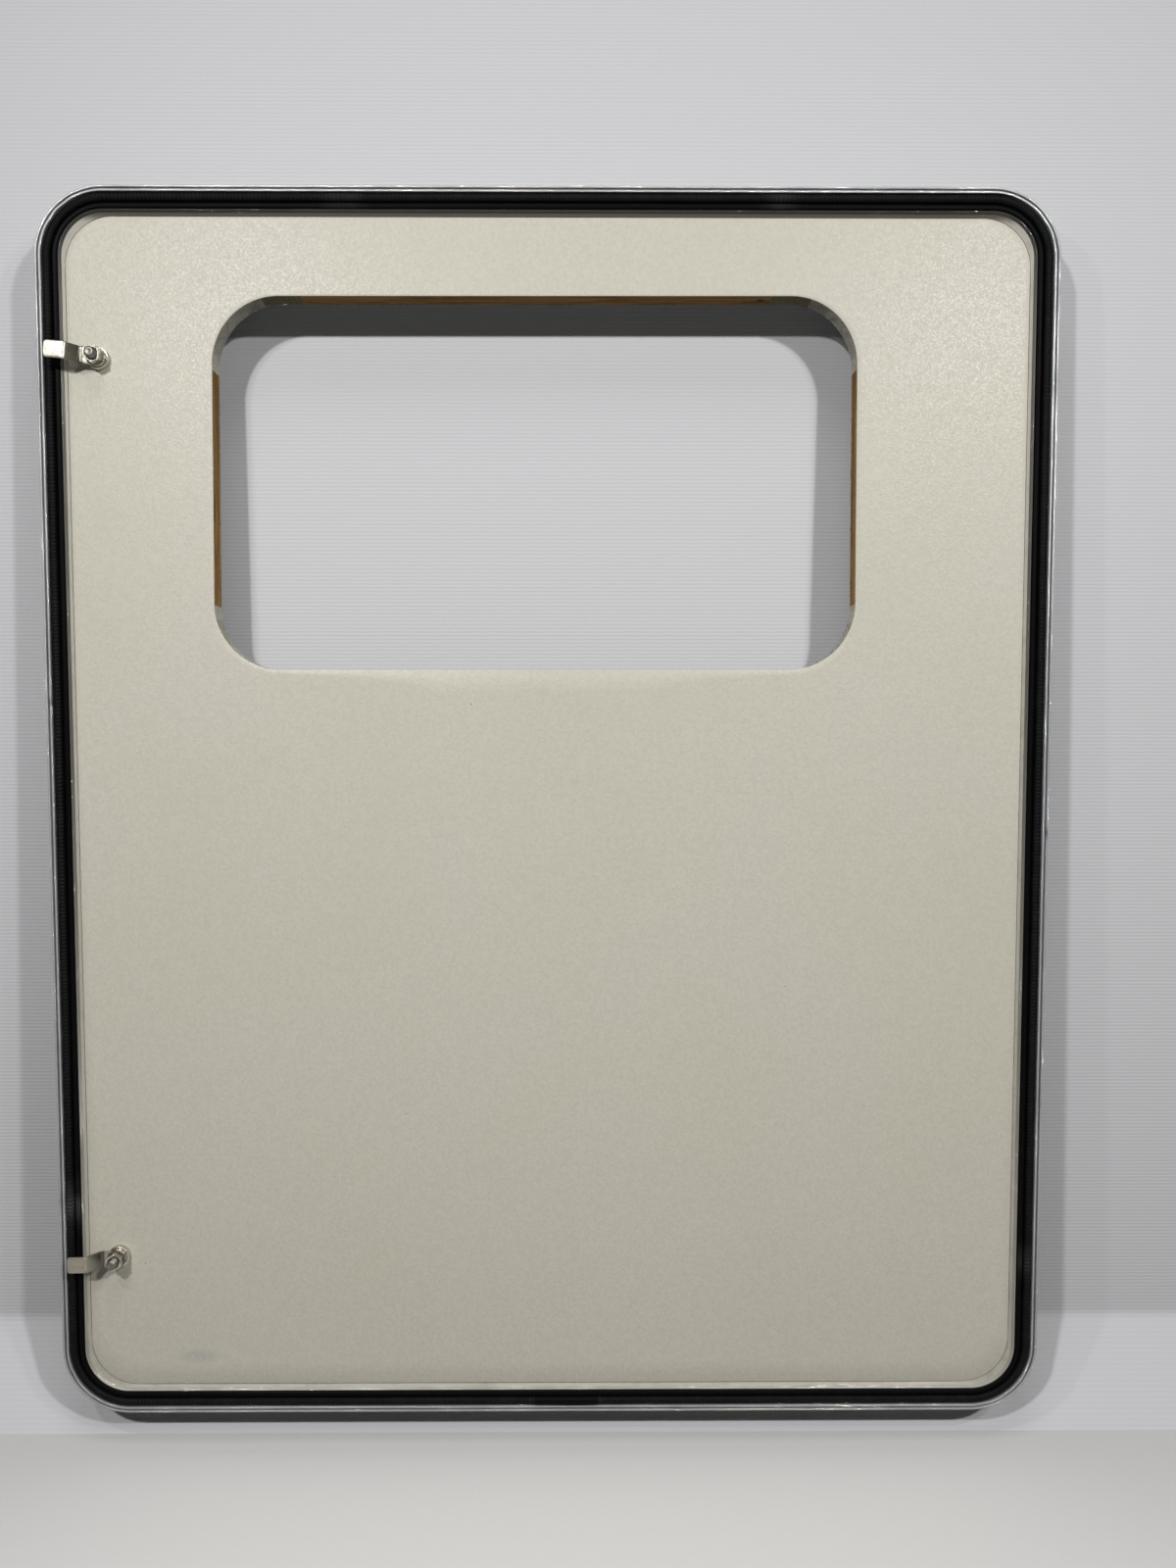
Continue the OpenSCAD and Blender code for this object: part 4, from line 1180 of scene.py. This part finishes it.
class HATCH_OT_cams(bpy.types.Operator):
    """Make the cranked cams with their spindles, nuts and toothed washers"""

    bl_idname = "hatch.make_cams"
    bl_label = "Cams"

    def execute(self, context):
        latch, colours = context.scene.hatch_latches, context.scene.hatch_finishes
        axis_x, nickel = latch.from_left - LEAF_WIDTH, colours.nickel[:]
        # Between these X the cams' slopes get painted shade.
        slope = (axis_x - 28.5 * MM, axis_x - 14 * MM)
        bright = plated_finish("upper_cam_plating", nickel, 0.32, 0.25, slope=slope)
        dull = plated_finish("lower_cam_plating", colours.zinc[:], 0.36, 0.7, (0.85, 0.72, 0.6),
                             slope)
        nut_metal = plated_finish("nut_plating", darker(nickel, 0.75), 0.2, 0.35)
        # The washer's plating is darkened to about a third of the nickel: painted shade for the
        # teeth that lie in the nut's shadow.
        shaded_washer_metal = plated_finish("washer_plating", darker(nickel, 0.35), 0.3, 0.6)
        steel = plated_finish("spindle_steel_dull", colours.steel[:], 0.42, 0.4)
        for word, side, turn, metal in (("upper", 1, 175.0, bright), ("lower", -1, 181.0, dull)):
            place = word, word + "_latch", latch_axis(side)
            self.cam(*place, turn, latch, metal)
            self.nut(*place, math.radians(turn), latch, nut_metal)
            self.washer(*place, latch, shaded_washer_metal)
            self.spindle(*place, latch, steel)
        return {"FINISHED"}

    def cam(self, word, body, axis, turn, latch, metal):
        """A rounded bar section carried along the cranked middle line.

        The half width at way x is sqrt(r^2 - x^2) round the axis and falls by a small quarter
        circle at the tip; the section is a superellipse |a|^n + |b|^n = 1 with n = 7.
        """
        low, tip, n = 8.3 * MM + latch.cam_thick / 2, 2.5 * MM, 7
        rise, bend_steps, steps = latch.cam_rise / MM, 14, 75
        bends = ((-9.0, 0), (17, 0), (29, rise), (49, rise), (60, 40), (-9, 40))
        line = rounded_section(bends, (0, 3.5, 3.5, 0, 0, 0), bend_steps)
        line = line[bend_steps - 1:3 * bend_steps + 1]
        gone = chain_lengths(line)
        ends, even = 0.5 - 0.5 * np.cos(np.linspace(0, math.pi, steps)), np.linspace(0, 1, steps)
        way = np.interp(ends, even, np.linspace(0, gone[-1], steps))
        x, h = np.interp(way, gone, line[:, 0]), np.interp(way, gone, line[:, 1])
        slope = np.arctan2(np.gradient(h, way), np.gradient(x, way))[:, None]
        half_wide = latch.cam_width / 2
        wide = np.where(x < 0, np.sqrt(np.clip(half_wide**2 - x**2, 0, None)), half_wide)
        past = np.clip(x - (latch.cam_reach - tip), 0, tip)
        at_tip = half_wide - tip + np.sqrt(np.clip(tip**2 - past**2, 0, None))
        wide = np.maximum(np.where(past > 0, at_tip, wide), 0.02 * MM)
        a = np.linspace(0, 2 * math.pi, 40, endpoint=False)
        across, thick = (np.sign(v) * np.abs(v) ** (2 / n) for v in (np.cos(a), np.sin(a)))
        thick = thick * latch.cam_thick / 2
        side_way = wide[:, None] * across[None]
        along = x[:, None] - np.sin(slope) * thick[None]
        height = low + h[:, None] + np.cos(slope) * thick[None]
        c, s = math.cos(math.radians(turn)), math.sin(math.radians(turn))
        points = placed(axis[0] + along * c - side_way * s, axis[1] + along * s + side_way * c,
                        height)
        piece = surface(word + "_cam_tongue", points, metal, body, u=way,
                        v=a * 5 * MM, shut_ends=True, flat_over=40)
        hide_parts(word + "_cam")

    def nut(self, word, body, axis, turn, latch, metal):
        """A hexagon: radius = half the flats over cos of the angle to the nearest flat's middle.

        It is no more than the cone of the chamfer allows at that height.
        """
        base, top = latch.nut_from, latch.nut_from + latch.nut_thick
        half, bore, sixth = latch.nut / 2, latch.spindle / 2 + 0.2 * MM, math.pi / 3
        corner = half / math.cos(sixth / 2)
        rise = np.array([0, 0, 0.35, 0.9, 2.0, 3.7, 5.4, 6.6, 7.15, 7.5, 7.5])
        cone = np.array([0.6, 0.92, 0.985, 1.1, 1.1, 1.1, 1.1, 1.1, 0.985, 0.92, 0.72])
        sides = np.stack([corner * cone, base + rise / 7.5 * latch.nut_thick], -1)
        hole = [[bore + 0.8 * MM, top], [bore, top - 0.8 * MM]]
        profile = np.concatenate([[[bore, base]], sides, hole])

        def reach(angle, radius, height):
            near = np.mod(angle - turn + sixth / 2, sixth) - sixth / 2
            hexagon = half / np.cos(near)
            return np.where(radius > bore + 1.0 * MM, np.minimum(radius, hexagon), radius) - radius

        piece = turned(word + "_hex_nut", profile, axis, metal, body, 144, reach, 24)
        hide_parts(word + "_nut")

    def washer(self, word, body, axis, latch, metal):
        """A flat ring with twisted teeth: radius less depth times a square-ish wave."""
        base, top = 11.3 * MM, 12.9 * MM
        r, bore = latch.washer / 2, latch.spindle / 2 + 0.2 * MM
        flat = r * 0.84
        profile = ((bore, base), (flat, base), (r, base), (r, (base + top) / 2), (r, top),
                   (flat, top), (bore, top))

        def reach(angle, radius, height):
            twist = (height - base) / (top - base) * 0.16
            wave = np.tanh(3 * np.sin(latch.teeth * (angle + twist)))
            return np.where(radius > r * 0.95, -0.8 * MM * (1 - wave), 0.0)

        piece = turned(word + "_toothed_washer", profile, axis, metal, body, 264,
                       reach, 30)
        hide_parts(word + "_washer")

    def spindle(self, word, body, axis, latch, metal):
        """A screw: radius less thread depth times a ridge wave of height over pitch plus turns."""
        r, tip, levels = latch.spindle / 2, latch.spindle_tip, 64
        threaded = np.linspace(12 * MM, tip - 1.3 * MM, levels)
        profile = np.concatenate([
            [[0, 4 * MM], [r, 4 * MM]], np.stack([np.full(levels, r), threaded], -1),
            [[r - 0.9 * MM, tip - 0.35 * MM], [r - 1.5 * MM, tip - 0.1 * MM],
             [r * 0.45, tip - 0.12 * MM], [r * 0.3, tip - 0.4 * MM], [0, tip - 0.45 * MM]],
        ])

        def reach(angle, radius, height):
            turns = height / latch.thread_pitch + angle / (2 * math.pi)
            ridge = np.abs(2 * (turns % 1.0) - 1)
            cut = (radius > r - 0.1 * MM) & (height > 11 * MM)
            return np.where(cut, -0.75 * MM * (1 - ridge), 0.0)

        piece = turned(word + "_threaded_spindle", profile, axis, metal, body,
                       48, reach, 50)
        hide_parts(word + "_spindle")


# Stage. Lamps: name, place, what they look at, the stage's power and its share, size.

LAMPS = (
    ("main_lamp_left", (-1.36, -2.0, 1.2), (-0.75, -1.1, -0.8), "main_lamp", 1.0, 0.1),
    ("main_lamp_right", (0.62, -2.0, 1.22), (-0.35, -1.1, -0.8), "main_lamp", 1.0, 0.1),
    ("side_lamp_left", (-1.25, -1.1, 0.92), (-0.65, -0.6, -0.8), "side_lamp", 1.0, 0.06),
    ("side_lamp_right", (0.5, -1.5, 1.07), (-0.35, -0.8, -0.8), "side_lamp", 1.6, 0.08),
    ("high_lamp", (-0.55, -1.3, 2.4), (-0.55, -1.2, -1.0), "high_lamp", 1.0, 1.0),
    ("back_lamp", (-1.5, 2.5, 0.5), (-LEAF_WIDTH / 2, 0, 0), "back_lamp", 1.0, 1.2),
)
# Words in the names of what the lamp behind the leaf lights
OUTER_SIDE = ("outer_sheet", "edge_frame", "plate_disc", "barrel", "plug")


def paper_tone(f, tone, colours):
    """The paper's colour for camera and metal, and a darker one for the light it throws back."""
    seen = f.maths("MAXIMUM", f.add("LightPath", "Is Camera Ray"),
                   f.add("LightPath", "Is Glossy Ray"))
    return f.blend(seen, colours.bounce[:], tone)


def backdrop_finish(colours):
    """Pale paper with fine level ribs. From behind it lets everything through."""
    f = Finish("backdrop_paper", Roughness=0.8, Specular_IOR_Level=0.2)
    ribs = f.add("TexWave", "Fac", {"bands_direction": "Z", "wave_type": "BANDS"},
                 Vector=f.place, Scale=74.0, Distortion=0.6, Detail=1.0)
    tone = f.blend(ribs, darker(colours.backdrop[:], 0.965), colours.backdrop[:])
    f.set(Base_Color=paper_tone(f, tone, colours), Normal=f.bump(ribs, 0.0004, 0.3))
    behind, clear = f.add("NewGeometry", "Backfacing"), f.add("BsdfTransparent")
    mixed = f.add("MixShader", numbered={0: behind, 1: f.shader.outputs[0], 2: clear})
    f.tree.links.new(mixed, f.tree.nodes["Material Output"].inputs["Surface"])
    return f.material


def floor_finish(colours):
    """The same paper, lying flat."""
    f = Finish("floor_paper", Roughness=0.8, Specular_IOR_Level=0.2)
    base = colours.floor[:]
    tone = f.blend(f.spread(f.noise(300.0, 2.0), 0.3, 0.7), darker(base, 0.985), base)
    return f.set(Base_Color=paper_tone(f, tone, colours))


def plain_mesh(name, points, material):
    """An open grid of points as a stage piece."""
    rows, columns = points.shape[:2]
    i, j = np.meshgrid(np.arange(rows - 1), np.arange(columns - 1), indexing="ij")
    a = (i * columns + j).ravel()
    quads = np.stack([a, a + 1, a + 1 + columns, a + columns], -1)
    mesh = bpy.data.meshes.new(name)
    mesh.from_pydata(points.reshape(-1, 3).tolist(), [], quads.tolist())
    mesh.materials.append(material)
    mesh.shade_smooth()
    piece = bpy.data.objects.new(name, mesh)
    bpy.context.scene.collection.objects.link(piece)
    return piece


def facing(thing, place, way):
    """A camera or lamp at a place that looks along a way."""
    thing.location = place
    thing.rotation_mode = "QUATERNION"
    thing.rotation_quaternion = way.to_track_quat("-Z", "Y")
    bpy.context.scene.collection.objects.link(thing)
    return thing


class HATCH_OT_stage(bpy.types.Operator):
    """Make the camera, the floor, the backdrop and the lamps"""

    bl_idname = "hatch.make_stage"
    bl_label = "Stage"

    def execute(self, context):
        scene, stage = context.scene, context.scene.hatch_stage
        lens = bpy.data.cameras.new("photo_camera")
        lens.sensor_fit, lens.sensor_width, lens.lens = "AUTO", 36.0, 25.99
        scene.camera = facing(bpy.data.objects.new("photo_camera", lens),
                              (-0.5156, -1.2592, 0.1055), Vector((0.0060, 0.9984, -0.0556)))
        scene.view_settings.view_transform = "Standard"
        self.ground(stage)
        self.lamps(stage)
        self.room(stage)
        return {"FINISHED"}

    def ground(self, stage):
        """Floor and backdrop: a level sheet, and one that leans and meets it in a soft crease."""
        level = -LEAF_HEIGHT / 2 - stage.floor_gap
        x, y = np.linspace(-3.4, 2.3, 9), np.linspace(-3.4, 3.4, 9)
        flat = np.stack(np.meshgrid(x, y, indexing="ij"), -1)
        flat = np.concatenate([flat, np.full((*flat.shape[:2], 1), level)], -1)
        plain_mesh("floor", flat[:, ::-1], floor_finish(stage))
        lean = (stage.wall_bottom - stage.wall_top) / LEAF_HEIGHT
        foot = INNER_FACE + stage.wall_bottom - lean * stage.floor_gap
        bend, soft = 0.09, 0.008
        start, high = soft * 0.7, level + bend
        turn = np.linspace(0, 1, 8)
        slope = np.array([[foot - bend, level + 0.3 * MM], [foot - start, high - start]])
        crease = np.stack([foot - start * (1 - turn) ** 2 - lean * soft * turn**2,
                           high - start * (1 - turn) ** 2 + soft * turn**2], -1)
        rise = np.linspace(0.02, 3.2, 20)
        up = np.stack([foot - lean * rise, high + rise], -1)
        run = np.concatenate([slope, crease[1:], up])
        points = np.stack(np.broadcast_arrays(x[:, None], run[None, :, 0], run[None, :, 1]), -1)
        paper = plain_mesh("backdrop", points[::-1], backdrop_finish(stage))
        # The lamp behind the leaf shines through the paper, which only the camera in front sees
        paper.visible_shadow = False

    def lamps(self, stage):
        """Square lamps. The last lights only the outer side's pieces, and without bounces."""
        for name, place, aim, source, share, size in LAMPS:
            data = bpy.data.lights.new(name, "AREA")
            data.energy, data.size = getattr(stage, source) * share, size
            lamp = facing(bpy.data.objects.new(name, data), place, Vector(aim) - Vector(place))
        data.cycles.max_bounces = 0
        outer_side = bpy.data.collections.new("lit_from_behind")
        lamp.light_linking.receiver_collection = outer_side
        for piece in bpy.context.scene.objects:
            if any(word in piece.name for word in OUTER_SIDE):
                outer_side.objects.link(piece)

    def room(self, stage):
        """Dim even light, a pale room for the camera and a dimmer one for what metal mirrors."""
        world = bpy.data.worlds.new("pale_room")
        bpy.context.scene.world = world
        world.use_nodes = True
        tree, tone = world.node_tree, (stage.ambient,) * 3
        for ray, bright in (("Is Glossy Ray", stage.mirrored), ("Is Camera Ray", 0.6)):
            share = add_node(tree, "LightPath", ray)
            tone = add_node(tree, "Mix", 2, {"data_type": "RGBA"},
                            {0: share, 6: tone, 7: (bright,) * 3})
        join(tree, tone, tree.nodes["Background"].inputs["Color"])


OPERATORS = (
    HATCH_OT_sheets,
    HATCH_OT_edge_frame,
    HATCH_OT_sealant,
    HATCH_OT_seal,
    HATCH_OT_battens,
    HATCH_OT_core,
    HATCH_OT_locks,
    HATCH_OT_cams,
    HATCH_OT_stage,
)

GROUPS = (
    ("hatch_leaf", HatchLeafSizes),
    ("hatch_cutout", HatchCutoutSizes),
    ("hatch_seal", HatchSealSizes),
    ("hatch_latches", HatchLatchSizes),
    ("hatch_finishes", HatchFinishes),
    ("hatch_stage", HatchStage),
)


class HATCH_PT_leaf(bpy.types.Panel):
    """Lists the pieces of the leaf and their sizes"""

    bl_idname = "HATCH_PT_leaf"
    bl_label = "Hatch Leaf"
    bl_space_type = "VIEW_3D"
    bl_region_type = "UI"
    bl_category = "Hatch Leaf"

    def draw(self, context):
        column = self.layout.column(align=True)
        for operator in OPERATORS:
            column.operator(operator.bl_idname)
        for attribute, group in GROUPS:
            box = self.layout.box()
            box.label(text=group.__name__)
            for key in group.__annotations__:
                box.prop(getattr(context.scene, attribute), key)


def register():
    for _, group in GROUPS:
        bpy.utils.register_class(group)
    for operator in OPERATORS:
        bpy.utils.register_class(operator)
    bpy.utils.register_class(HATCH_PT_leaf)
    for attribute, group in GROUPS:
        setattr(bpy.types.Scene, attribute, PointerProperty(type=group))


def unregister():
    for attribute, _ in GROUPS:
        delattr(bpy.types.Scene, attribute)
    bpy.utils.unregister_class(HATCH_PT_leaf)
    for operator in reversed(OPERATORS):
        bpy.utils.unregister_class(operator)
    for _, group in reversed(GROUPS):
        bpy.utils.unregister_class(group)


def main():
    register()
    for operator in OPERATORS:
        family, name = operator.bl_idname.split(".")
        getattr(getattr(bpy.ops, family), name)()


if __name__ == "__main__":
    main()
